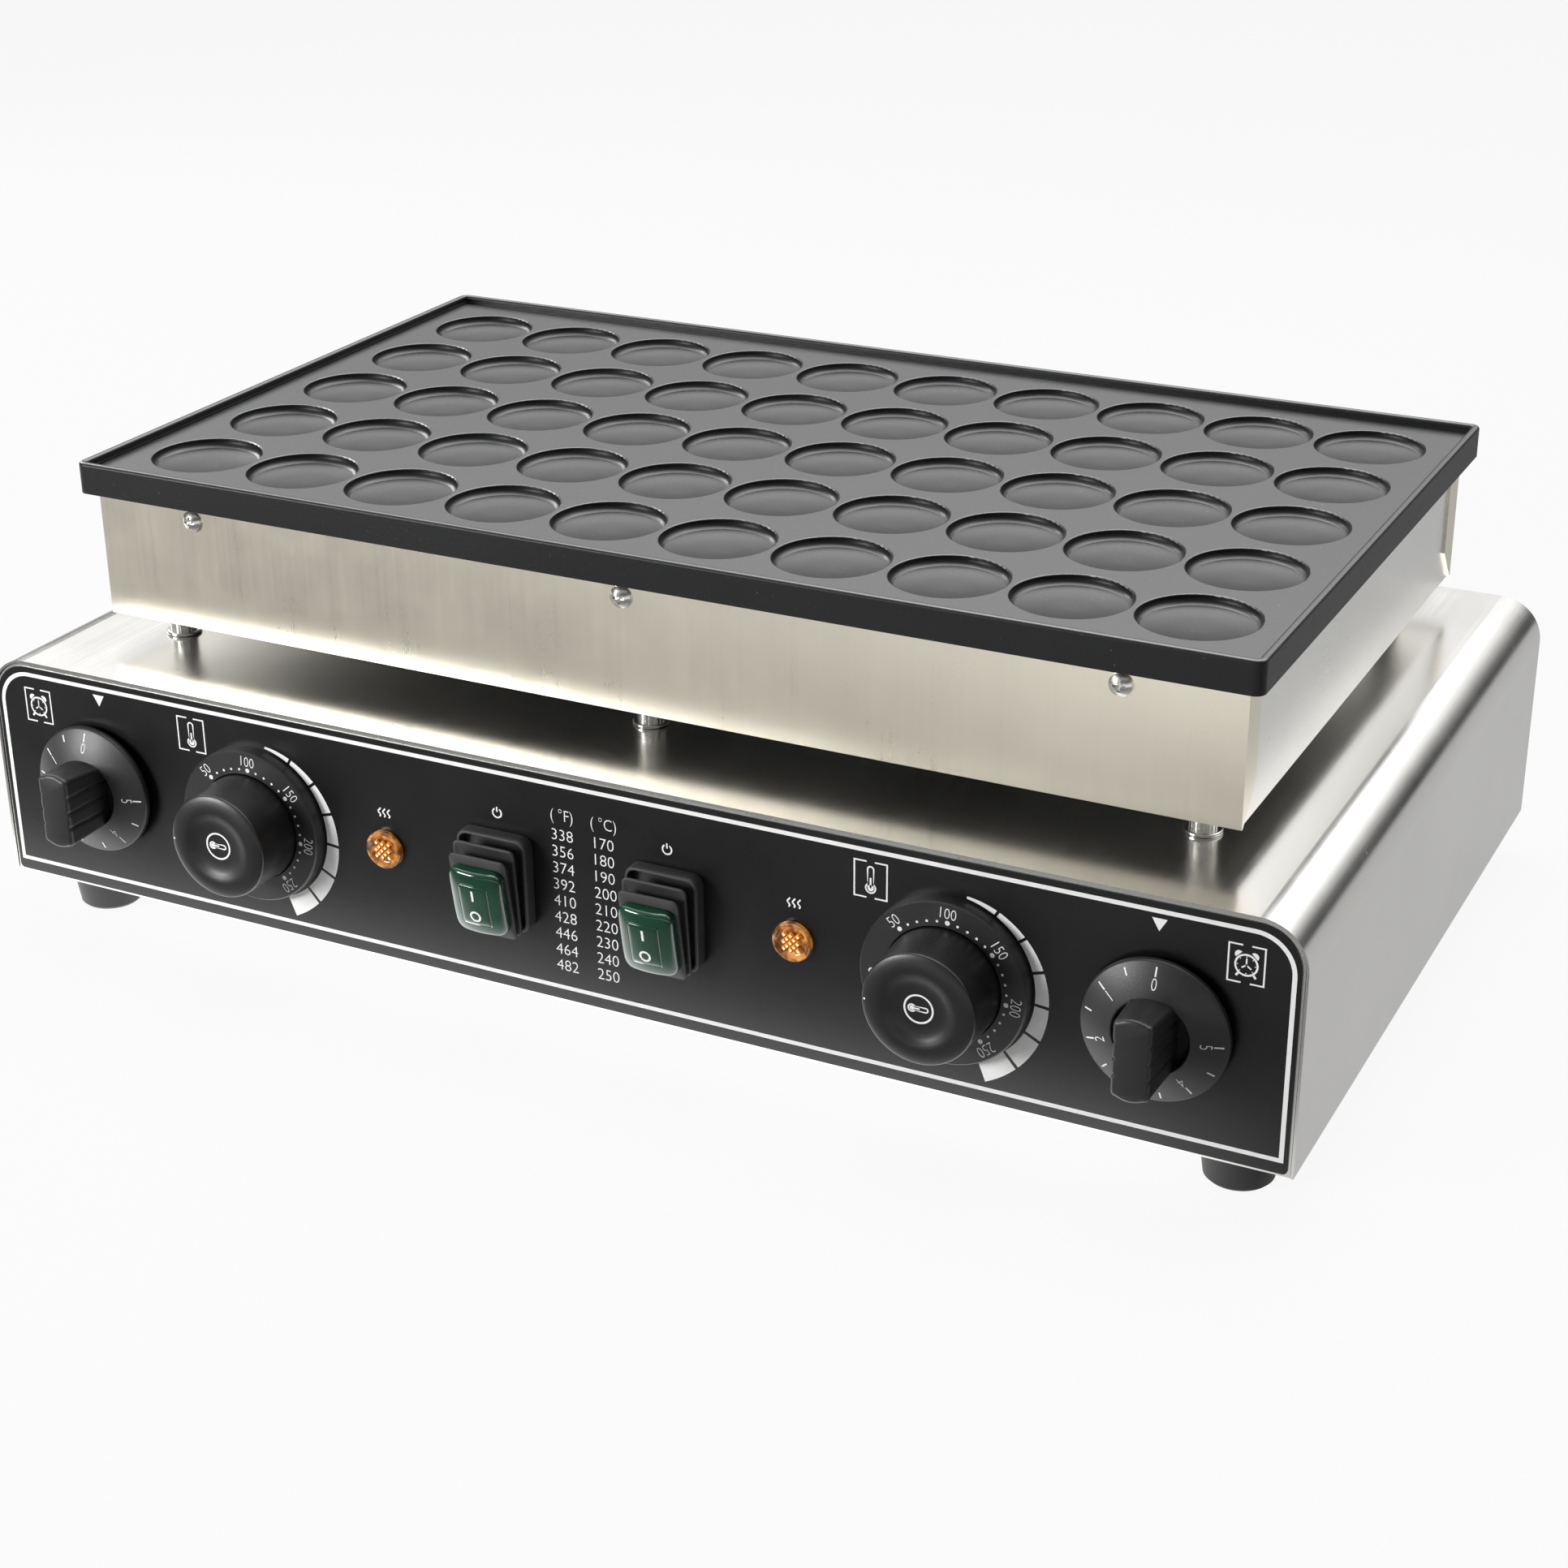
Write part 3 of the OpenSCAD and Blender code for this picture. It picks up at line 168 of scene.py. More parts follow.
# Stainless sheet: grain lines, broader streaks, faint clouds of handling and specks of dust
steelLooks = {
    "coverSteel": {"colour": (0.80, 0.79, 0.765), "grain": (700, 5, 700), "rough": 0.21,
                   "clouds": 0.10, "lines": 0.10, "lift": 0.03, "waves": 0.25},
    "panelSteel": {"colour": (0.72, 0.71, 0.68), "grain": (5, 700, 700), "rough": 0.28,
                   "clouds": 0.08, "lines": 0.08, "lift": 0.05, "waves": 0.05},
    "boxSteel": {"colour": (0.80, 0.745, 0.63), "grain": (500, 500, 5), "rough": 0.29,
                 "clouds": 0.06, "lines": 0.05, "lift": 0.02, "waves": 0.03},
    "traySteel": {"colour": (0.82, 0.815, 0.79), "grain": (5, 5, 600), "rough": 0.30,
                  "clouds": 0.10, "lines": 0.07, "lift": 0.03, "waves": 0.15},
    "screwZinc": {"colour": (0.66, 0.65, 0.62), "grain": (300, 300, 300), "rough": 0.24,
                  "clouds": 0.1, "lines": 0.1, "lift": 0.1, "waves": 0.0},
    "postChrome": {"colour": (0.74, 0.73, 0.70), "grain": (300, 300, 40), "rough": 0.16,
                   "clouds": 0.08, "lines": 0.1, "lift": 0.1, "waves": 0.0},
    "reflectorSheet": {"colour": (0.78, 0.78, 0.78), "grain": (6, 500, 6), "rough": 0.22,
                       "clouds": 0.1, "lines": 0.1, "lift": 0.1, "waves": 0.0},
    "elementTube": {"colour": (0.24, 0.22, 0.20), "grain": (90, 90, 90), "rough": 0.5,
                    "clouds": 0.15, "lines": 0.2, "lift": 0.1, "waves": 0.0},
    "probeCopper": {"colour": (0.66, 0.36, 0.2), "grain": (90, 90, 90), "rough": 0.34,
                    "clouds": 0.15, "lines": 0.1, "lift": 0.1, "waves": 0.0},
}


def steelFinish(name):
    look = steelLooks[name]
    finish, flow, inputs = newFinish(name, Metallic=1.0)
    grain = flow.noise(1.0, 4.0, 0.6, flow.stretched(*look["grain"]))
    wide = flow.noise(1.0, 2.0, 0.5, flow.stretched(*(size * 0.16 for size in look["grain"])))
    clouds = flow.noise(9.0, 4.0, 0.55)
    dull = flow.noise(45.0, 5.0, 0.65)
    dust = flow.noise(620.0, 2.0, 0.5).ramp(0.70, 0.80) * dull.ramp(0.40, 0.60)
    flow.plug(inputs["Base Color"], flow.mix(
        (clouds.ramp(0.35, 0.7) * 0.5 + grain * 0.3 + wide * 0.2 - 0.4 * dust).clamped(),
        shade(look["colour"], 0.9), shade(look["colour"], 1.05)))
    flow.plug(inputs["Roughness"], look["rough"] + look["clouds"] * (clouds - 0.5) + look["lines"] * (grain - 0.5)
              + 0.08 * (dull - 0.5) + 0.12 * dust)
    flow.plug(inputs["Normal"], flow.bump(look["lift"] * grain + look["waves"] * wide, 0.2, 0.001))
    return finish


# Non-stick coat on the casting: charcoal with pale specks and a fine sandy skin
coatLook = {"colour": (0.0085, 0.0088, 0.0098), "speck": (0.30, 0.30, 0.32), "rough": 0.42, "sand": 1000.0,
            "faceDrop": 3.4}


def griddleFinish(name):
    finish, flow, inputs = newFinish(name, Specular_IOR_Level=0.25, Coat_Roughness=0.25, Coat_IOR=1.5)
    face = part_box("griddle_plate")[1].z - coatLook["faceDrop"] * 0.001
    sand = flow.noise(coatLook["sand"], 2.0, 0.6)
    fine = flow.noise(700.0, 3.0, 0.6)
    clouds = flow.noise(14.0, 3.0, 0.5)
    upward = flow.add("ShaderNodeTexCoord", out=1).part(2).ramp(0.55, 0.95)
    sunk = flow.spots().part(2).ramp(face - 0.0012, face - 0.0052)
    specks = (sand.ramp(0.69, 0.78) * (0.35 + 0.65 * fine.ramp(0.45, 0.62)) * (0.3 + 0.7 * upward)).clamped()
    plain = flow.mix(clouds.ramp(0.3, 0.7), shade(coatLook["colour"], 0.85), shade(coatLook["colour"], 1.15))
    flow.plug(inputs["Base Color"], flow.mix(specks, plain, shade(coatLook["speck"], 1.0)))
    flow.plug(inputs["Roughness"], coatLook["rough"] + 0.10 * (fine - 0.5) + 0.06 * (clouds - 0.5))
    flow.plug(inputs["Coat Weight"], (upward * (1.0 - 0.82 * sunk)).clamped())
    flow.plug(inputs["Normal"], flow.bump(sand + 0.7 * fine, 0.16, 0.0002))
    return finish


# Moulded and rubbery things: colour drift, a fine skin and duller patches
mouldLooks = {
    "overlayFilm": {"colour": (0.0032, 0.0033, 0.0036), "rough": 0.30, "skin": 2600.0, "lift": 0.10, "drift": 0.2},
    "printWhite": {"colour": (0.88, 0.88, 0.87), "rough": 0.55, "skin": 2200.0, "lift": 0.04, "drift": 0.05},
    "knobBlack": {"colour": (0.008, 0.008, 0.0085), "rough": 0.36, "skin": 1700.0, "lift": 0.10, "drift": 0.25},
    "ringBlack": {"colour": (0.012, 0.0122, 0.013), "rough": 0.42, "skin": 2200.0, "lift": 0.08, "drift": 0.2},
    "timerBlack": {"colour": (0.013, 0.013, 0.014), "rough": 0.42, "skin": 1500.0, "lift": 0.12, "drift": 0.3},
    "bootRubber": {"colour": (0.022, 0.022, 0.023), "rough": 0.58, "skin": 1100.0, "lift": 0.14, "drift": 0.35},
    "footRubber": {"colour": (0.012, 0.012, 0.012), "rough": 0.62, "skin": 900.0, "lift": 0.16, "drift": 0.3},
    "glandBlack": {"colour": (0.018, 0.018, 0.018), "rough": 0.5, "skin": 1300.0, "lift": 0.1, "drift": 0.25},
    "blockWhite": {"colour": (0.78, 0.76, 0.70), "rough": 0.5, "skin": 900.0, "lift": 0.08, "drift": 0.12},
    "sleeveWhite": {"colour": (0.74, 0.74, 0.71), "rough": 0.55, "skin": 700.0, "lift": 0.08, "drift": 0.12},
    "leadRed": {"colour": (0.34, 0.035, 0.025), "rough": 0.48, "skin": 800.0, "lift": 0.06, "drift": 0.2},
    "thermostatCream": {"colour": (0.70, 0.66, 0.56), "rough": 0.5, "skin": 900.0, "lift": 0.08, "drift": 0.12},
    "timerCase": {"colour": (0.045, 0.045, 0.05), "rough": 0.48, "skin": 900.0, "lift": 0.1, "drift": 0.2},
    "mineralMat": {"colour": (0.72, 0.69, 0.60), "rough": 0.9, "skin": 240.0, "lift": 0.8, "drift": 0.3},
}


def mouldFinish(name, **constants):
    look = mouldLooks[name]
    finish, flow, inputs = newFinish(name, **constants)
    skin = flow.noise(look["skin"], 3.0, 0.6)
    drift = flow.noise(26.0, 4.0, 0.6)
    flow.plug(inputs["Base Color"], flow.mix(
        (drift * 0.7 + skin * 0.3).ramp(0.3, 0.7), shade(look["colour"], 1 - look["drift"]),
        shade(look["colour"], 1 + look["drift"])))
    flow.plug(inputs["Roughness"], look["rough"] + 0.12 * (drift - 0.5) + 0.08 * (skin - 0.5))
    flow.plug(inputs["Normal"], flow.bump(skin, look["lift"], 0.0003))
    return finish


# Clear green rocker plastic and the amber lens; the lens facets are given painted light, shade and highlights, and
# the lens and its bezel a painted glow
rockerLook = {"deep": (0.0006, 0.034, 0.016), "lit": (0.0012, 0.055, 0.026), "rough": 0.12}
# lens colours: 'deep' is painted shade for facets facing down and right, 'amber' painted light for facets facing up
# and left, 'lit' a painted highlight on the cell tops; the lens also gives off these colours as a painted glow
lensLook = {"deep": (0.05, 0.010, 0.001), "amber": (0.75, 0.22, 0.02), "lit": (1.0, 0.78, 0.38), "rough": 0.10,
            "paintedGlow": 0.8}
# bezel colours: amber in random streaks; the bezel also gives off this amber as a painted glow
bezelLook = {"deep": (0.16, 0.055, 0.012), "amber": (0.70, 0.30, 0.07), "rough": 0.08, "paintedGlow": 0.3}


def rockerFinish(name):
    finish, flow, inputs = newFinish(name, Coat_Weight=0.5, Coat_Roughness=0.06, Specular_IOR_Level=0.5)
    drift = flow.noise(70.0, 3.0, 0.5)
    skin = flow.noise(420.0, 2.0, 0.5)
    flow.plug(inputs["Base Color"], flow.mix(drift.ramp(0.3, 0.7), shade(rockerLook["deep"], 1.0),
                                             shade(rockerLook["lit"], 1.0)))
    flow.plug(inputs["Roughness"], rockerLook["rough"] + 0.06 * (drift - 0.5))
    flow.plug(inputs["Normal"], flow.bump(skin, 0.03, 0.0004))
    return finish


def lensFinish(name):
    # painted glow: the lens gives off its painted facet light and highlights as emission
    finish, flow, inputs = newFinish(name, Coat_Weight=0.4, Coat_Roughness=0.04,
                                     Emission_Strength=lensLook["paintedGlow"])
    lean = flow.add("ShaderNodeTexCoord", out=1)
    # painted light and shade: by the facet's normal, facets facing up and left get the bright amber, those facing
    # down and right the dark amber
    paintedLightSide = lean.part(2) - lean.part(0)
    cells = flow.noise(420.0, 2.0, 0.5)
    paintedFacetLight = flow.mix((paintedLightSide + 0.5 * (cells - 0.5)).ramp(-0.7, 0.9), shade(lensLook["deep"], 1.0),
                    shade(lensLook["amber"], 1.0))
    # painted highlight: the flat cell tops, which face straight out, get the pale lit colour
    amber = flow.mix((0 - lean.part(1)).ramp(0.95, 0.99), paintedFacetLight, shade(lensLook["lit"], 1.0))
    flow.plug(inputs["Base Color"], amber)
    flow.plug(inputs["Emission Color"], amber)
    flow.plug(inputs["Roughness"], lensLook["rough"] + 0.1 * (cells - 0.5))
    return finish


def bezelFinish(name):
    # painted glow: the bezel is no lamp, yet gives off its amber as emission
    finish, flow, inputs = newFinish(name, Coat_Weight=0.5, Coat_Roughness=0.03,
                                     Emission_Strength=bezelLook["paintedGlow"])
    streaks = flow.noise(230.0, 2.0, 0.5)
    amber = flow.mix(streaks.ramp(0.42, 0.62), shade(bezelLook["deep"], 1.0), shade(bezelLook["amber"], 1.0))
    flow.plug(inputs["Base Color"], amber)
    flow.plug(inputs["Emission Color"], amber)
    flow.plug(inputs["Roughness"], bezelLook["rough"] + 0.06 * (streaks - 0.5))
    return finish


finishes = {name: steelFinish(name) for name in steelLooks}
finishes["griddleCoat"] = griddleFinish("griddleCoat")
finishes.update({name: mouldFinish(name) for name in mouldLooks})
finishes["rockerGreen"] = rockerFinish("rockerGreen")
finishes["lensAmber"] = lensFinish("lensAmber")
finishes["bezelAmber"] = bezelFinish("bezelAmber")

nodeFinish = {
    "coverSteel": ["base_cover"],
    "panelSteel": ["front_panel", "rear_panel", "bottom_plate"],
    "boxSteel": ["box_front", "box_rear"],
    "traySteel": ["box_tray"],
    "screwZinc": ["bottom_screws", "foot_screws", "post_bolts", "post_nuts", "box_screws", "clamp_bolts",
                  "control_screws", "clamp_bars", "dial_shaft_left", "dial_shaft_right", "timer_shaft_left",
                  "timer_shaft_right"],
    "postChrome": ["support_posts", "post_rings"],
    "reflectorSheet": ["heat_reflector"],
    "elementTube": ["heating_element_left", "heating_element_right"],
    "probeCopper": ["thermostat_probe_left", "thermostat_probe_right"],
    "griddleCoat": ["griddle_plate"],
    "overlayFilm": ["control_label"],
    "knobBlack": ["dial_knob_left", "dial_knob_right"],
    "ringBlack": ["dial_ring_left", "dial_ring_right"],
    "timerBlack": ["timer_knob_left", "timer_knob_right"],
    "bootRubber": ["switch_boot_left", "switch_boot_right"],
    "footRubber": ["foot_front_left", "foot_front_right", "foot_rear_left", "foot_rear_right"],
    "glandBlack": ["cable_gland", "gland_nut"],
    "blockWhite": ["element_terminals", "terminal_block", "lamp_holders"],
    "sleeveWhite": ["wire_sleeves"],
    "leadRed": ["element_leads_left", "element_leads_right"],
    "thermostatCream": ["thermostat_left", "thermostat_right"],
    "timerCase": ["timer_left", "timer_right", "switch_housing_left", "switch_housing_right"],
    "mineralMat": ["insulation_mat"],
    "rockerGreen": ["rocker_left", "rocker_right"],
    "lensAmber": ["lamp_lens_left", "lamp_lens_right"],
}
for name, members in nodeFinish.items():
    for member in members:
        nodes[member].data.materials.clear()
        nodes[member].data.materials.append(finishes[name])
print("finishes given to", sum(len(members) for members in nodeFinish.values()), "nodes")


# Panel pieces are drawn in mm: u to the right, v up, w out of the panel, from a control's middle
def onPanel(middle, u, v, w):
    return (middle.x + u, panelFace - w, middle.z + v)


def makePiece(name, points, faces, finish, body=None, crease=32.0):
    mesh = bpy.data.meshes.new(name)
    mesh.from_pydata([Vector(point) * 0.001 for point in points], [], faces)
    mesh.validate()
    mesh.shade_smooth()
    mesh.set_sharp_from_angle(angle=math.radians(crease))
    mesh.materials.append(finishes[finish])
    piece = bpy.data.objects.new(name, mesh)
    bpy.context.scene.collection.objects.link(piece)
    if body:
        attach(piece, body)
    return piece


def roundRect(width, height, radius, steps=5):
    ring = []
    for cornerX, cornerY, start in ((1, 1, 0), (-1, 1, 90), (-1, -1, 180), (1, -1, 270)):
        for step in range(steps + 1):
            turn = math.radians(start + 90 * step / steps)
            ring.append((cornerX * (width / 2 - radius) + radius * math.cos(turn),
                         cornerY * (height / 2 - radius) + radius * math.sin(turn)))
    return ring


def loft(rings, closeStart=True, closeEnd=True):
    count = len(rings[0])
    points = [point for ring in rings for point in ring]
    faces = []
    for level in range(len(rings) - 1):
        for i in range(count):
            j = (i + 1) % count
            faces.append((level * count + i, level * count + j, (level + 1) * count + j, (level + 1) * count + i))
    if closeStart:
        faces.append(tuple(range(count - 1, -1, -1)))
    if closeEnd:
        faces.append(tuple(range((len(rings) - 1) * count, len(rings) * count)))
    return points, faces


def lathe(profile, steps=96):
    circle = [(math.cos(math.tau * i / steps), math.sin(math.tau * i / steps)) for i in range(steps)]
    return loft([[(r * a, r * b, w) for a, b in circle] for r, w in profile])


def join(*shapes):
    points, faces = [], []
    for somePoints, someFaces in shapes:
        start = len(points)
        points += somePoints
        faces += [tuple(start + i for i in face) for face in someFaces]
    return points, faces


def smoothLine(stops, steps=6):
    line = []
    for i in range(len(stops) - 1):
        before, here, there, after = (stops[max(0, min(len(stops) - 1, i + k))] for k in (-1, 0, 1, 2))
        for step in range(steps):
            t = step / steps
            line.append(tuple(
                0.5 * (2 * b + (c - a) * t + (2 * a - 5 * b + 4 * c - d) * t * t
                       + (3 * b - a - 3 * c + d) * t ** 3)
                for a, b, c, d in zip(before, here, there, after)))
    return line + [stops[-1]]


# Flat marks: strokes, patches, rings and numerals as lists of faces in u and v
def stroke(line, width, closed=False):
    count = len(line)
    left, right = [], []
    for i in range(count):
        back = Vector(line[i - 1]) if i or closed else None
        here = Vector(line[i])
        ahead = Vector(line[(i + 1) % count]) if i < count - 1 or closed else None
        way = ((ahead - here).normalized() if ahead else Vector((0, 0))) + \
              ((here - back).normalized() if back else Vector((0, 0)))
        way.normalize()
        side = Vector((-way.y, way.x))
        leg = (ahead - here) if ahead else (here - back)
        cosine = max(0.35, abs(side.dot(Vector((-leg.y, leg.x)).normalized())))
        left.append(here + side * width / 2 / cosine)
        right.append(here - side * width / 2 / cosine)
    points = [tuple(p) for p in left + right]
    faces = [(i, count + i, count + (i + 1) % count, (i + 1) % count)
             for i in range(count if closed else count - 1)]
    return points, faces


def arcLine(u, v, radius, start, end, steps=24):
    return [(u + radius * math.cos(math.radians(start + (end - start) * i / steps)),
             v + radius * math.sin(math.radians(start + (end - start) * i / steps))) for i in range(steps + 1)]


def patch(line):
    return [tuple(p) for p in line], [tuple(range(len(line)))]


def disc(u, v, radius, steps=20):
    return patch(arcLine(u, v, radius, 0, 360 - 360 / steps, steps - 1))


def ringMark(u, v, radius, width, steps=40):
    return stroke(arcLine(u, v, radius, 0, 360 - 360 / steps, steps - 1), width, True)


def moved(shape, u, v, turn=0.0, scale=1.0):
    cosine, sine = math.cos(math.radians(turn)), math.sin(math.radians(turn))
    return [(u + scale * (a * cosine - b * sine), v + scale * (a * sine + b * cosine))
            for a, b in shape[0]], shape[1]


numeralCache = {}


def numeral(text, height, squeeze=1.0):
    if text not in numeralCache:
        curve = bpy.data.curves.new("numeral", "FONT")
        curve.body = text
        curve.resolution_u = 3
        curve.offset = -0.011
        piece = bpy.data.objects.new("numeral", curve)
        bpy.context.scene.collection.objects.link(piece)
        mesh = piece.evaluated_get(bpy.context.evaluated_depsgraph_get()).to_mesh()
        points = [(point.co.x, point.co.y) for point in mesh.vertices]
        numeralCache[text] = points, [tuple(face.vertices) for face in mesh.polygons]
        bpy.data.objects.remove(piece)
        bpy.data.curves.remove(curve)
    points, faces = numeralCache[text]
    low = [min(point[k] for point in points) for k in (0, 1)]
    high = [max(point[k] for point in points) for k in (0, 1)]
    scale = height / (high[1] - low[1])
    return [((u - (low[0] + high[0]) / 2) * scale * squeeze, (v - (low[1] + high[1]) / 2) * scale)
            for u, v in points], faces


def printMarks(name, middle, shapes, level, body, finish="printWhite"):
    points, faces = join(*shapes)
    height = level if callable(level) else (lambda u, v: level)
    return makePiece(name, [onPanel(middle, u, v, height(u, v)) for u, v in points], faces, finish, body)


# Overlay print: border, pictograms, pointers, table of numbers and the growing arcs
overlayLook = {
    "lift": 0.06, "border": 1.7, "left": -275.2, "right": 275.2, "low": 6.3, "high": 91.9, "corner": 14.5,
    "iconWidth": 12.8, "iconHeight": 14.2, "iconGap": 1.6, "line": 0.62,
    "pointer": 226.0, "pointerShape": ((-1.6, 89.2), (1.2, 84.3), (4.0, 89.2)),
    "clock": (257.5, 78.8), "clockShift": 0.8, "thermometers": (-179.3, 119.3), "thermometerHeight": 80.4,
    "columns": (-8.2, 9.8), "unitHeight": 6.4, "unitRow": 79.0, "firstRow": 71.4, "rowStep": 6.92, "rows": 9,
    "numberHeight": 4.6, "heatRow": 64.5, "powerRow": 75.0,
    "arcFirst": 79.0, "arcStep": 21.4, "arcGap": 1.9, "arcParts": 7,
    "arcInner": 33.2, "arcOuter": 34.2, "arcGrowth": 7.8,
}


def bracketFrame(width, height, line):
    gap = overlayLook["iconGap"]
    shapes = []
    for s in (-1, 1):
        shapes.append(stroke([(s * gap, height / 2), (s * width / 2, height / 2), (s * width / 2, -height / 2),
                              (s * gap, -height / 2)], line))
    return shapes


def clockMark(line):
    shapes = [ringMark(0, -0.3, 3.9, line * 1.15), disc(0, -0.3, 0.5, 10)]
    for turn, reach in ((90, 2.6), (-35, 2.2), (215, 2.0)):
        tip = (reach * math.cos(math.radians(turn)), -0.3 + reach * math.sin(math.radians(turn)))
        shapes.append(stroke([(0, -0.3), tip], line * 0.9))
    for turn in range(0, 360, 45):
        where = math.radians(turn)
        shapes.append(disc(3.15 * math.cos(where), -0.3 + 3.15 * math.sin(where), 0.22, 8))
    for s in (-1, 1):
        bell = arcLine(s * 2.75, 3.35, 1.5, 90 - s * 45 - 90, 90 - s * 45 + 90, 12)
        shapes.append(patch(bell))
        shapes.append(stroke([(s * 2.6, -3.5), (s * 3.5, -4.8)], line * 1.4))
    return shapes


def thermometerMark(line):
    stem = [(1.2, -2.0)] + arcLine(0, 4.0, 1.2, 0, 180, 10) + [(-1.2, -2.0)]
    bulb = arcLine(0, -3.3, 1.9, 130, 410, 20)
    return [stroke(stem + bulb, line, True), disc(0, -3.3, 1.25), stroke([(0, -3.3), (0, 0.8)], line * 1.2)]


def heatMark(line):
    return [stroke([(u + 0.5 * math.sin(step * 0.9), step * 0.42 - 1.9) for step in range(10)], line)
            for u in (-2.1, 0, 2.1)]


def powerMark(line):
    return [stroke(arcLine(0, 0, 1.9, 122, 418, 22), line), stroke([(0, 0.4), (0, 2.5)], line)]


overlayMiddle = Vector((0, 0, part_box("front_panel")[0].z * 1000))
overlay = []
look = overlayLook
borderLine = ([(look["left"], look["low"]), (look["right"], look["low"])]
              + arcLine(look["right"] - look["corner"], look["high"] - look["corner"], look["corner"], 0, 90, 14)
              + arcLine(look["left"] + look["corner"], look["high"] - look["corner"], look["corner"], 90, 180, 14))
overlay.append(stroke(borderLine, look["border"], True))
for s in (-1, 1):
    overlay.append(patch([(s * look["pointer"] + u, v) for u, v in look["pointerShape"]]))
    for shape in bracketFrame(look["iconWidth"], look["iconHeight"], look["line"]) + clockMark(look["line"]):
        overlay.append(moved(shape, s * look["clock"][0] + look["clockShift"], look["clock"][1]))
for u in look["thermometers"]:
    for shape in bracketFrame(look["iconWidth"], look["iconHeight"], look["line"]) + thermometerMark(look["line"]):
        overlay.append(moved(shape, u, look["thermometerHeight"]))
for u, unit, first, step in zip(look["columns"], ("( °F)", "( °C)"), (338, 170), (18, 10)):
    overlay.append(moved(numeral(unit, look["unitHeight"], 0.85), u, look["unitRow"]))
    for row in range(look["rows"]):
        number = numeral(str(first + step * row), look["numberHeight"], 0.98)
        overlay.append(moved(number, u, look["firstRow"] - look["rowStep"] * row))
for side in sides:
    lampX = (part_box("lamp_lens_" + side)[0].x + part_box("lamp_lens_" + side)[1].x) * 500
    for shape in heatMark(0.62):
        overlay.append(moved(shape, lampX, look["heatRow"]))
    for shape in powerMark(0.66):
        overlay.append(moved(shape, pivots["power_rock_" + side].x, look["powerRow"]))
    middle = pivots["temperature_turn_" + side]
    for part in range(look["arcParts"]):
        start = look["arcFirst"] - part * look["arcStep"]
        end = look["arcFirst"] - (part + 1) * look["arcStep"] + look["arcGap"]
        rim = []
        for step in range(9):
            turn = start + (end - start) * step / 8
            rim.append((turn, look["arcOuter"] + look["arcGrowth"] * (look["arcFirst"] - turn) / 150))
        rim += [(turn, look["arcInner"]) for turn, r in rim[::-1]]
        line = [(r * math.cos(math.radians(turn)), r * math.sin(math.radians(turn))) for turn, r in rim]
        overlay.append(moved(patch(line[::-1]), middle.x, middle.z - overlayMiddle.z))
overlayPrint = printMarks("overlayPrint", overlayMiddle, overlay, labelFace + look["lift"], "machine")
print("overlay printed:", len(overlay), "marks")


# Dial rings: dots and numbers; temperature knobs: turned body with a broad hollowed front
ringLook = {"lift": 0.05, "dots": 24.7, "bigDot": 0.95, "smallDot": 0.52, "numbers": 28.4, "numberHeight": 4.2,
            "first": -42.0, "step": 46.0, "offTurn": 182.0, "offAt": 27.2}
knobLook = {
    "profile": [(21.6, 3.1), (22.2, 3.6), (22.2, 9.0), (21.9, 16.0), (21.75, 22.0), (21.75, 25.4)],
    "front": [(21.75, 25.4), (21.7, 26.6), (21.5, 27.15), (21.0, 27.5), (19.6, 27.95), (17.6, 28.3), (15.6, 28.4),
              (14.2, 28.25), (12.6, 27.8), (10.8, 27.2), (8.8, 26.8), (6.0, 26.55), (0.05, 26.45)],
    "icon": 5.4, "dot": -20.3, "lift": 0.07,
}


def dialAngle(value):
    return 90 - (ringLook["first"] + ringLook["step"] * (value - 50) / 50)


def heightOn(profile, radius):
    for (r1, w1), (r2, w2) in zip(profile, profile[1:]):
        if r2 <= radius <= r1 and r1 > r2:
            return w1 + (w2 - w1) * (r1 - radius) / (r1 - r2)
    return profile[-1][1]


knobFront = smoothLine(knobLook["front"], 5)
for side in sides:
    middle = pivots["temperature_turn_" + side]
    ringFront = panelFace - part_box("dial_ring_" + side)[0].y * 1000
    shapes = []
    for value in range(50, 251, 10):
        turn = dialAngle(value)
        where = math.radians(turn)
        big = value % 50 == 0
        shapes.append(disc(ringLook["dots"] * math.cos(where), ringLook["dots"] * math.sin(where),
                           ringLook["bigDot"] if big else ringLook["smallDot"], 14))
        if big:
            shapes.append(moved(numeral(str(value), ringLook["numberHeight"], 0.8),
                                ringLook["numbers"] * math.cos(where), ringLook["numbers"] * math.sin(where),
                                turn - 90))
    where = math.radians(ringLook["offTurn"])
    shapes.append(moved(ringMark(0, 0, 1.1, 0.5, 20), ringLook["offAt"] * math.cos(where),
                        ringLook["offAt"] * math.sin(where)))
    printMarks("dialPrint_" + side, middle, shapes, ringFront + ringLook["lift"], "machine")

    points, faces = lathe(smoothLine(knobLook["profile"], 4) + knobFront[1:])
    knob = makePiece("temperatureKnob_" + side, [onPanel(middle, *p) for p in points], faces, "knobBlack",
                     "temperature_dial_" + side, 50.0)
    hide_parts("dial_knob_" + side)
    icon = [ringMark(0, 0, knobLook["icon"], 0.75)]
    icon += [moved(shape, -0.2, 0, -90, 0.72) for shape in thermometerMark(0.8)]
    icon.append(disc(knobLook["dot"], 0, 0.45, 12))
    knobPrint = printMarks("knobPrint_" + side, middle, icon,
                           lambda u, v: heightOn(knobFront, math.hypot(u, v)) + knobLook["lift"],
                           "temperature_dial_" + side)
print("temperature dials done")


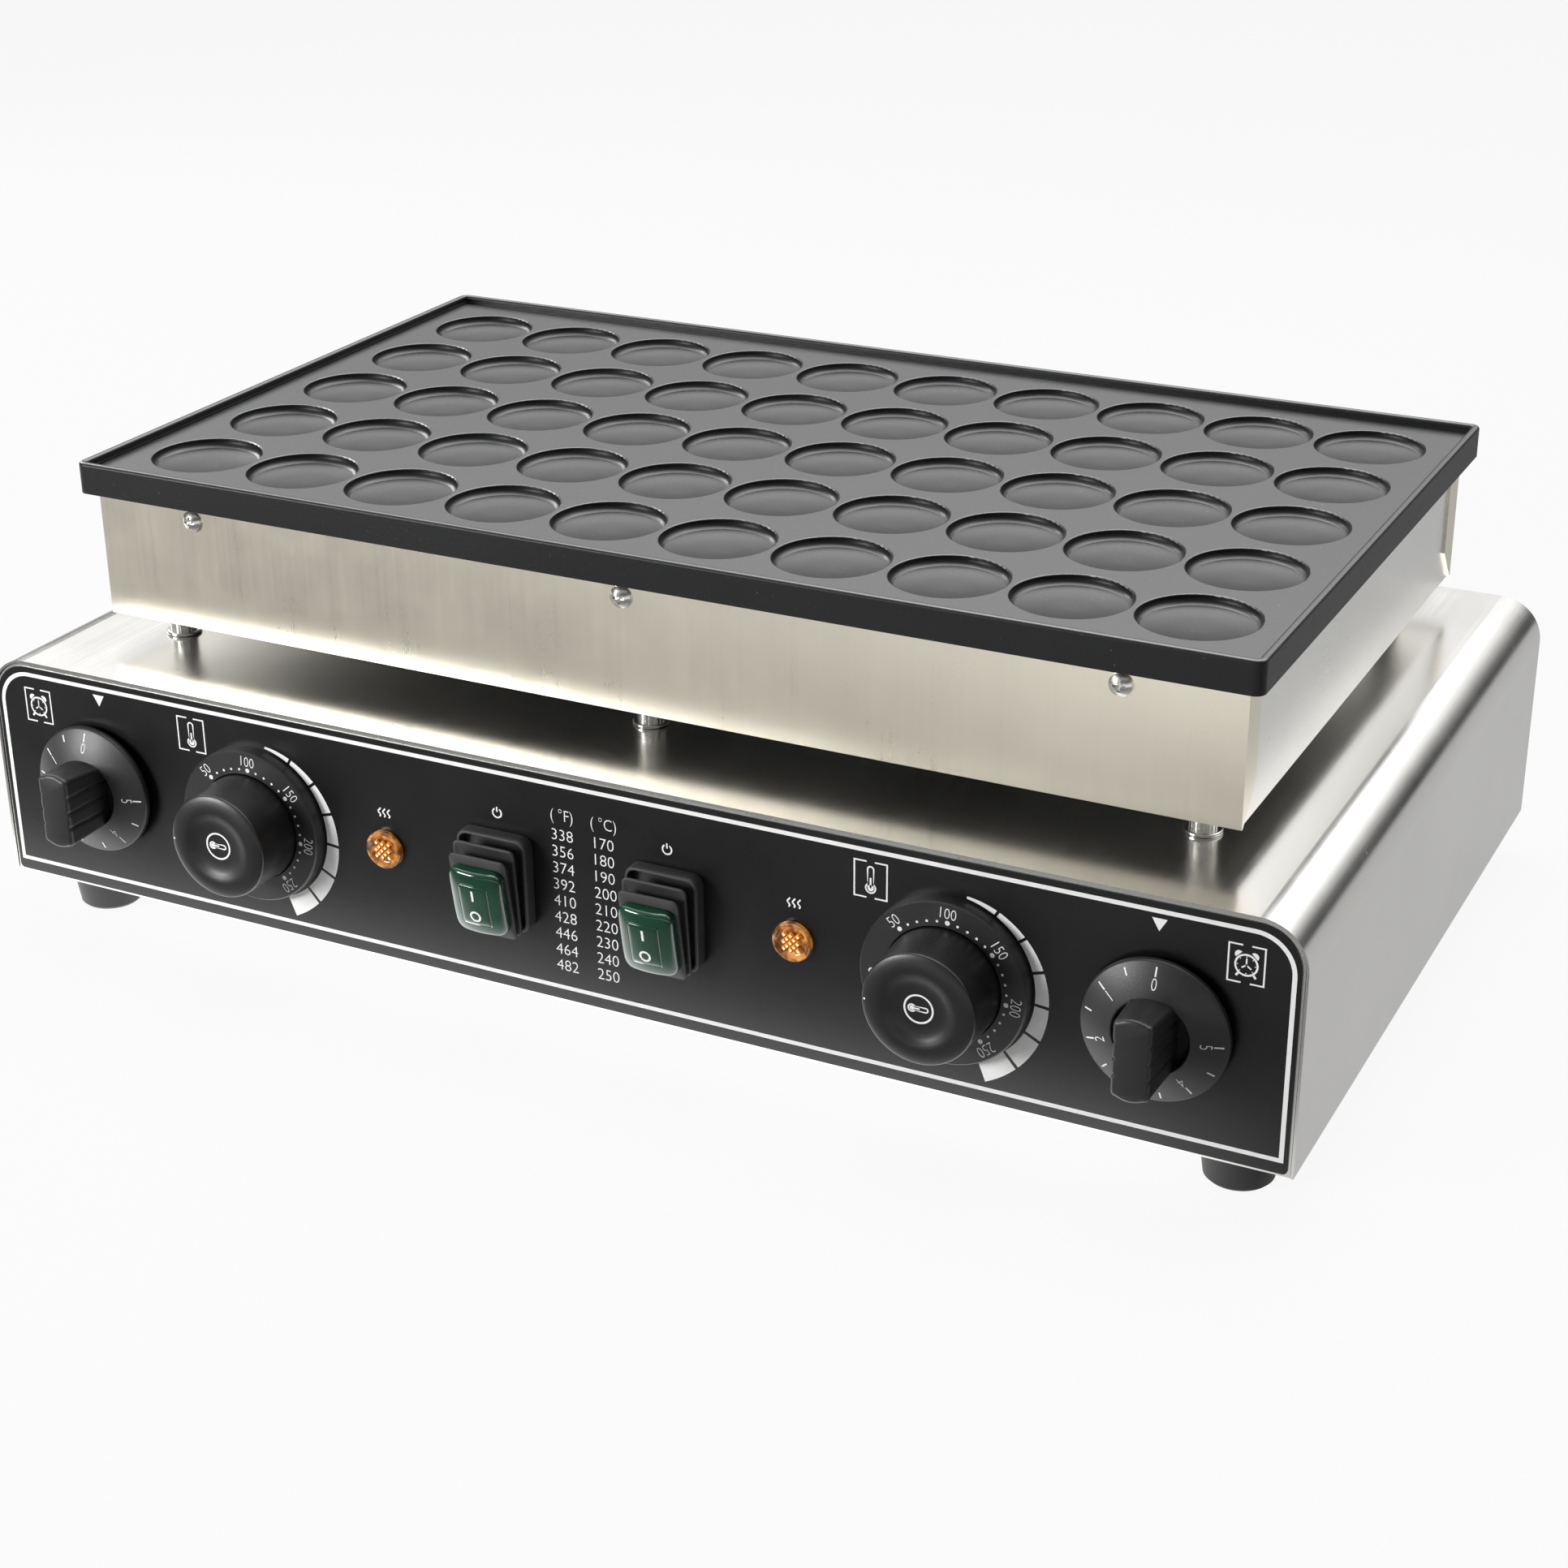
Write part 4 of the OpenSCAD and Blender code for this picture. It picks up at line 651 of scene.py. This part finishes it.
# Timer knobs: skirt, sunk hub and a bar grip with grooved flanks
timerLook = {
    "skirt": [(26.8, 3.1), (27.25, 3.5), (27.25, 5.3), (26.95, 5.75), (26.5, 6.0), (14.9, 10.2), (14.5, 10.25),
              (14.1, 10.0), (13.7, 7.4), (13.1, 6.4), (12.2, 6.0), (0.05, 5.95)],
    "ticks": (22.1, 25.4), "numbers": 19.6, "numberHeight": 4.1, "step": 54.0,
    "gripLength": 32.0, "gripSpread": -3.6, "gripWidth": 13.8, "gripFlare": 3.4,
    "gripFoot": 5.6, "gripFront": 29.4,
    "gripCorner": 1.6, "gripBow": 1.3, "grooves": (-6.5, 0, 6.5), "grooveDepth": 0.65, "grooveWidth": 0.5,
    "gripLevels": (5.6, 8, 12, 16, 20, 24, 27, 28.2), "gripTop": 28.9,
    "gripRound": ((0.25, 28.75), (0.7, 29.15), (1.3, 29.35)), "lift": 0.07,
}


def gripRing(w):
    share = (w - timerLook["gripFoot"]) / (timerLook["gripFront"] - timerLook["gripFoot"])
    length = timerLook["gripLength"] + timerLook["gripSpread"] * (1 - share)
    width = timerLook["gripWidth"] + timerLook["gripFlare"] * (1 - share) ** 1.5
    return length, width


def gripOutline(length, width, inset=0.0):
    # ends bow outwards, flanks carry three grooves each
    half, reach = width / 2 - inset, length / 2 - inset
    corner, bow = timerLook["gripCorner"], timerLook["gripBow"]
    ring = []
    for step in range(41):
        v = -reach + corner + 2 * (reach - corner) * step / 40
        dent = sum(timerLook["grooveDepth"] * math.exp(-((v - groove) / timerLook["grooveWidth"]) ** 2)
                   for groove in timerLook["grooves"])
        ring.append((half - dent, v))
    for step in range(1, 6):
        turn = math.radians(90 * step / 6)
        ring.append((half - corner + corner * math.cos(turn), reach - corner + corner * math.sin(turn)))
    for step in range(13):
        u = (half - corner) * (1 - step / 6)
        ring.append((u, reach + bow * (1 - (u / (half - corner)) ** 2)))
    for step in range(1, 6):
        turn = math.radians(90 + 90 * step / 6)
        ring.append((-half + corner + corner * math.cos(turn), reach - corner + corner * math.sin(turn)))
    ring += [(-u, -v) for u, v in ring]
    return ring


def gripShape():
    rings = []
    for w in timerLook["gripLevels"]:
        length, width = gripRing(w)
        rings.append([(u, v, w) for u, v in gripOutline(length - 2 * timerLook["gripBow"], width)])
    length, width = gripRing(timerLook["gripTop"])
    for inset, w in timerLook["gripRound"]:
        rings.append([(u, v, w) for u, v in gripOutline(length - 2 * timerLook["gripBow"], width, inset)])
    return loft(rings)


for side in sides:
    middle = pivots["timer_turn_" + side]
    points, faces = join(lathe(timerLook["skirt"], 112), gripShape())
    knob = makePiece("timerKnob_" + side, [onPanel(middle, *p) for p in points], faces, "timerBlack",
                     "timer_dial_" + side, 38.0)
    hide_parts("timer_knob_" + side)
    shapes = []
    for half in range(0, 11):
        turn = 90 + timerLook["step"] * half / 2
        where = math.radians(turn)
        inner, outer = timerLook["ticks"]
        inner += 0.5 if half % 2 else 0.0      # half steps are shorter
        shapes.append(stroke([(r * math.cos(where), r * math.sin(where)) for r in (inner, outer)], 0.62))
        if half % 2 == 0:
            shapes.append(moved(numeral(str(half // 2), timerLook["numberHeight"], 0.75),
                                timerLook["numbers"] * math.cos(where), timerLook["numbers"] * math.sin(where),
                                turn - 90))
    timerPrint = printMarks("timerPrint_" + side, middle, shapes,
                            lambda u, v: heightOn(timerLook["skirt"], math.hypot(u, v)) + timerLook["lift"],
                            "timer_dial_" + side)
print("timers done")


# Rocker switches: green cap with a raised window and plain marks, in a folded rubber boot
rockerShape = {
    "pivotIn": 4.0, "tilt": 10.0, "width": 23.2, "length": 28.0, "back": 18.1, "front": 24.4, "corner": 4.2,
    "crown": (3.4, 1.0), "window": (12.4, 17.4), "groove": 0.9, "raised": 0.35, "stem": (16.0, 18.0),
    "edge": ((0.0, 1.3), (0.01, 0.95), (0.035, 0.6), (0.08, 0.32), (0.15, 0.12), (0.25, 0.03), (0.4, 0.0),
             (0.6, 0.0), (0.8, 0.0), (1.0, 0.0)),      # share of the way in, drop below the bowed face
    "windowEdge": ((-0.45, -0.18), (0.0, 0.22), (0.45, 0.35), (3.0, 0.35), (6.0, 0.35), (9.0, 0.35),
                   (11.4, 0.35)),      # how much smaller, lift above the bowed face
    "onMark": (2.2, 6.8), "offMark": -4.9, "lift": 0.06,
}
bootShape = {
    "blend": (6.6, 13.2),      # two heights along the boot; the points computed from them below are not used
    "levels": [(0.5, 30.0, 38.6, 4.0, 0.0), (0.9, 30.4, 39.0, 4.0, 0.0), (5.7, 30.4, 39.0, 4.0, 0.0),
               (6.2, 30.1, 38.7, 3.9, 0.0), (6.5, 29.4, 38.0, 3.7, 0.0), (6.5, 28.0, 36.6, 3.2, 0.0),
               (5.9, 27.4, 36.0, 3.0, 0.0), (2.6, 26.4, 35.0, 3.0, 0.0), (2.6, 20.6, 25.0, 2.0, 0.1),
               (8.2, 20.6, 25.0, 2.0, 0.4), (8.9, 25.0, 35.6, 2.2, 0.5), (9.2, 26.5, 37.2, 2.4, 0.5),
               (9.5, 26.8, 37.5, 2.4, 0.5), (10.2, 26.8, 37.5, 2.4, 0.5), (10.4, 26.3, 37.0, 2.3, 0.5),
               (10.4, 24.6, 35.2, 2.0, 0.5), (9.8, 22.6, 32.0, 2.0, 0.55), (10.0, 20.6, 25.0, 2.0, 0.65),
               (12.0, 20.6, 25.0, 2.0, 0.95), (12.5, 23.2, 33.6, 2.2, 1.0), (12.8, 24.6, 35.2, 2.4, 1.0),
               (13.1, 24.9, 35.5, 2.4, 1.0), (13.8, 24.9, 35.5, 2.4, 1.0), (14.0, 24.4, 35.0, 2.3, 1.0),
               (14.0, 17.2, 19.2, 1.0, 1.0)],
}


def tilted(u, v, w, share=1.0):
    turn = math.radians(rockerShape["tilt"] * share)
    reach = w + rockerShape["pivotIn"]
    lean = v * math.cos(turn) - reach * math.sin(turn)
    return u, lean, v * math.sin(turn) + reach * math.cos(turn) - rockerShape["pivotIn"]


def crownHeight(u, v):
    # bowed from side to side, nearly straight from top to bottom
    across, along = rockerShape["crown"]
    bow = math.sqrt(max(0.0, 1 - (2 * u / (rockerShape["width"] + 0.6)) ** 2))
    return (rockerShape["front"] - rockerShape["pivotIn"] - rockerShape["raised"] - across * (1 - bow)
            - along * (2 * v / rockerShape["length"]) ** 4)


def denseRect(width, height, radius, steps=6, splits=10):
    ring = roundRect(width, height, radius, steps)
    dense = []
    for i, here in enumerate(ring):
        dense.append(here)
        if i % (steps + 1) == steps:
            there = ring[(i + 1) % len(ring)]
            dense += [tuple(a + (b - a) * k / splits for a, b in zip(here, there)) for k in range(1, splits)]
    return dense


def capRings():
    width, length, corner = rockerShape["width"], rockerShape["length"], rockerShape["corner"]
    back = rockerShape["back"] - rockerShape["pivotIn"]
    stem = rockerShape["stem"]
    flat = [(*stem, 1.0, -rockerShape["pivotIn"]), (*stem, 1.0, back), (width - 1.0, length - 1.0, corner, back),
            (width, length, corner, back + 0.5)]
    rings = [[(u, v, w) for u, v in denseRect(a, b, r)] for a, b, r, w in flat]
    a, b = rockerShape["window"]
    groove = rockerShape["groove"]
    for share, drop in rockerShape["edge"]:
        outline = denseRect(width + (a + groove - width) * share, length + (b + groove - length) * share,
                            corner + (1.0 - corner) * share)
        rings.append([(u, v, crownHeight(u, v) - drop) for u, v in outline])
    for less, lift in rockerShape["windowEdge"]:
        outline = denseRect(a - less, b - less, min(0.8, (a - less) / 2.1))
        rings.append([(u, v, crownHeight(u, v) + lift) for u, v in outline])
    return rings


for side in sides:
    middle = pivots["power_rock_" + side]
    points, faces = loft(capRings())
    rocker = makePiece("rockerCap_" + side, [onPanel(middle, *tilted(*p)) for p in points], faces, "rockerGreen",
                       "power_rocker_" + side, 40.0)
    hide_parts("rocker_" + side)
    marks = [stroke([(0, v) for v in rockerShape["onMark"]], 0.95), ringMark(0, rockerShape["offMark"], 2.0, 0.85)]
    points, faces = join(*marks)
    lift = rockerShape["raised"] + rockerShape["lift"]
    marksPiece = makePiece("rockerPrint_" + side,
                           [onPanel(middle, *tilted(u, v, crownHeight(u, v) + lift)) for u, v in points], faces,
                           "printWhite", "power_rocker_" + side)

    rings = []
    for w, width, height, corner, share in bootShape["levels"]:
        rings.append([onPanel(middle, *tilted(u, v, w, share)) for u, v in roundRect(width, height, corner)])
    points, faces = loft(rings, True, False)
    boot = makePiece("switchBoot_" + side, points, faces, "bootRubber", None, 50.0)
    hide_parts("switch_boot_" + side)
    Vector(onPanel(middle, 0, 0, bootShape["blend"][0])) * 0.001
    Vector(onPanel(middle, 0, 0, bootShape["blend"][1])) * 0.001
    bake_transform(boot)
print("switches done")


# Lamps: round bezel and a quilted amber dome
lampLook = {
    "bezel": [(7.5, 0.5), (7.9, 0.9), (7.9, 2.4), (7.7, 3.0), (7.3, 3.4), (6.8, 3.4), (6.4, 3.0), (5.9, 1.9),
              (5.4, 1.6), (5.2, 1.6)],
    "cell": 2.0, "top": 0.46, "dome": 3.1, "rise": 0.8, "peak": 0.7, "edge": 5.2, "spill": 0.6,
}


def domeHeight(u, v):
    return lampLook["dome"] - lampLook["rise"] * (u * u + v * v) / lampLook["edge"] ** 2


def quilt():
    points, faces = [], []
    size, top = lampLook["cell"], lampLook["top"]
    for i in range(-6, 7):
        for j in range(-6, 7):
            square = [(a, b) for a, b in ((-0.5, -0.5), (0.5, -0.5), (0.5, 0.5), (-0.5, 0.5))]
            foot = [((i + a) * size, (j + b) * size) for a, b in square]
            head = [((i + a * top) * size, (j + b * top) * size) for a, b in square]
            foot, head = ([((a - b) * 0.7071, (a + b) * 0.7071) for a, b in ring] for ring in (foot, head))
            if max(math.hypot(a, b) for a, b in foot) > lampLook["edge"] + lampLook["spill"]:
                continue
            start = len(points)
            peak = domeHeight(i * size, j * size) + lampLook["peak"]
            points += [(a, b, domeHeight(a, b)) for a, b in foot] + [(a, b, peak) for a, b in head]
            faces += [(start + k, start + (k + 1) % 4, start + 4 + (k + 1) % 4, start + 4 + k) for k in range(4)]
            faces.append(tuple(range(start + 4, start + 8)))
    return points, faces


for side in sides:
    low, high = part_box("lamp_lens_" + side)
    middle = (low + high) * 500
    points, faces = lathe(lampLook["bezel"], 64)
    bezel = makePiece("lampBezel_" + side, [onPanel(middle, *p) for p in points], faces, "bezelAmber",
                      "machine", 40.0)
    points, faces = quilt()
    lens = makePiece("lampLens_" + side, [onPanel(middle, *p) for p in points], faces, "lensAmber",
                     "machine", 12.0)
    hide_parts("lamp_lens_" + side)
print("lamps done")


# Stage: pale floor, a bright ceiling that falls off towards the horizon, and three soft lamps
stageLook = {
    "floor": 0.60, "floorGlow": 0.92, "gloss": 0.56, "frontDim": 0.36, "nearGlow": 2.2, "ambient": 0.10,
    "backSky": 1.4, "frontSky": 0.40, "horizon": 0.04, "ceiling": 4.0,
    "panelLine": 0.16, "dimFrom": (0.05, 0.12), "farFrom": (0.25, 0.38), "farAcross": (-0.45, 0.05), "farGain": 2.9,
    "nearStart": (-0.06, -0.03), "nearEnd": (0.025, 0.07), "nearAcross": (0.20, 0.28),
    "skyTurn": (-0.6, 0.5), "skyRise": (0.0, 0.42), "skyCurve": 3,
    "ceilingStart": (0.43, 0.78), "ceilingEnd": (0.80, 0.93), "ceilingTurn": (0.0, 0.35),
}
floorMesh = bpy.data.meshes.new("floor")
floorMesh.from_pydata([(-8, -8, 0), (8, -8, 0), (8, 8, 0), (-8, 8, 0)], [], [(0, 1, 2, 3)])
floor = bpy.data.objects.new("floor", floorMesh)
bpy.context.scene.collection.objects.link(floor)
paper = bpy.data.materials.new("paleFloor")
paper.use_nodes = True
paper.node_tree.nodes.clear()
flow = Flow(paper.node_tree)
cameraRay = flow.add("ShaderNodeLightPath", out="Is Camera Ray")
otherRay = (flow.add("ShaderNodeLightPath", out="Is Glossy Ray")
            + flow.add("ShaderNodeLightPath", out="Is Transmission Ray")).clamped()
tone = flow.noise(3.0, 2.0, 0.5) * 0.02 + (stageLook["floor"] - 0.01)
across = flow.spots().part(0)
ahead = 0 - flow.spots().part(1) - stageLook["panelLine"]
far = ahead.ramp(*stageLook["farFrom"]) * across.ramp(*stageLook["farAcross"])
dim = ahead.ramp(*stageLook["dimFrom"]) * (1 - stageLook["farGain"] * far)
near = (ahead.ramp(*stageLook["nearStart"]) * (1 - ahead.ramp(*stageLook["nearEnd"]))
        * (1 - across.ramp(*stageLook["nearAcross"])))
tableGloss = stageLook["gloss"] - stageLook["frontDim"] * dim + stageLook["nearGlow"] * near
plain = flow.add("ShaderNodeBsdfDiffuse", None, {
    "Color": flow.add("ShaderNodeCombineColor", None, {0: tone, 1: tone, 2: tone})})
seen = cameraRay + tableGloss * otherRay
lit = flow.add("ShaderNodeEmission", None, {
    "Color": flow.add("ShaderNodeCombineColor", None, {0: seen, 1: seen, 2: seen})})
paperMix = flow.add("ShaderNodeMixShader", None, {
    0: stageLook["floorGlow"] * (cameraRay + otherRay).clamped(), 1: plain, 2: lit})
flow.add("ShaderNodeOutputMaterial", None, {"Surface": paperMix})
floorMesh.materials.append(paper)

world = bpy.data.worlds.new("studio")
bpy.context.scene.world = world
world.use_nodes = True
flow = Flow(world.node_tree)
cameraRay = flow.add("ShaderNodeLightPath", out="Is Camera Ray")
otherRay = (flow.add("ShaderNodeLightPath", out="Is Glossy Ray")
            + flow.add("ShaderNodeLightPath", out="Is Transmission Ray")).clamped()
heading = flow.add("ShaderNodeTexCoord", out="Generated")
rear, height = heading.part(1), heading.part(2)
bright = (stageLook["frontSky"]
          + (stageLook["backSky"] - stageLook["frontSky"]) * rear.ramp(*stageLook["skyTurn"]))
ceiling = (height.ramp(*stageLook["ceilingStart"]) * (1 - height.ramp(*stageLook["ceilingEnd"]))
           * rear.ramp(*stageLook["ceilingTurn"]))
sky = (stageLook["horizon"]
       + (bright - stageLook["horizon"]) * height.ramp(*stageLook["skyRise"]) ** stageLook["skyCurve"]
       + stageLook["ceiling"] * ceiling)
flow.plug(world.node_tree.nodes["Background"].inputs["Strength"],
          cameraRay + otherRay * sky + (1 - (cameraRay + otherRay).clamped()) * stageLook["ambient"])
world.node_tree.nodes["Background"].inputs["Color"].default_value = (1, 1, 1, 1)

lamps = {
    "topLamp": {"place": (0.0, 0.25, 1.65), "size": 1.3, "power": 21.0},
    "leftLamp": {"place": (-1.5, 0.65, 0.85), "size": 0.5, "power": 7.0},
    "frontLamp": {"place": (-1.2, -1.6, 0.48), "size": 0.6, "power": 36.0},
}
for name, lamp in lamps.items():
    light = bpy.data.lights.new(name, "AREA")
    light.energy, light.size = lamp["power"], lamp["size"]
    holder = bpy.data.objects.new(name, light)
    holder.location = lamp["place"]
    holder.rotation_euler = (Vector((0, 0, 0.1)) - Vector(lamp["place"])).to_track_quat("-Z", "Y").to_euler()
    bpy.context.scene.collection.objects.link(holder)
print("stage lit")
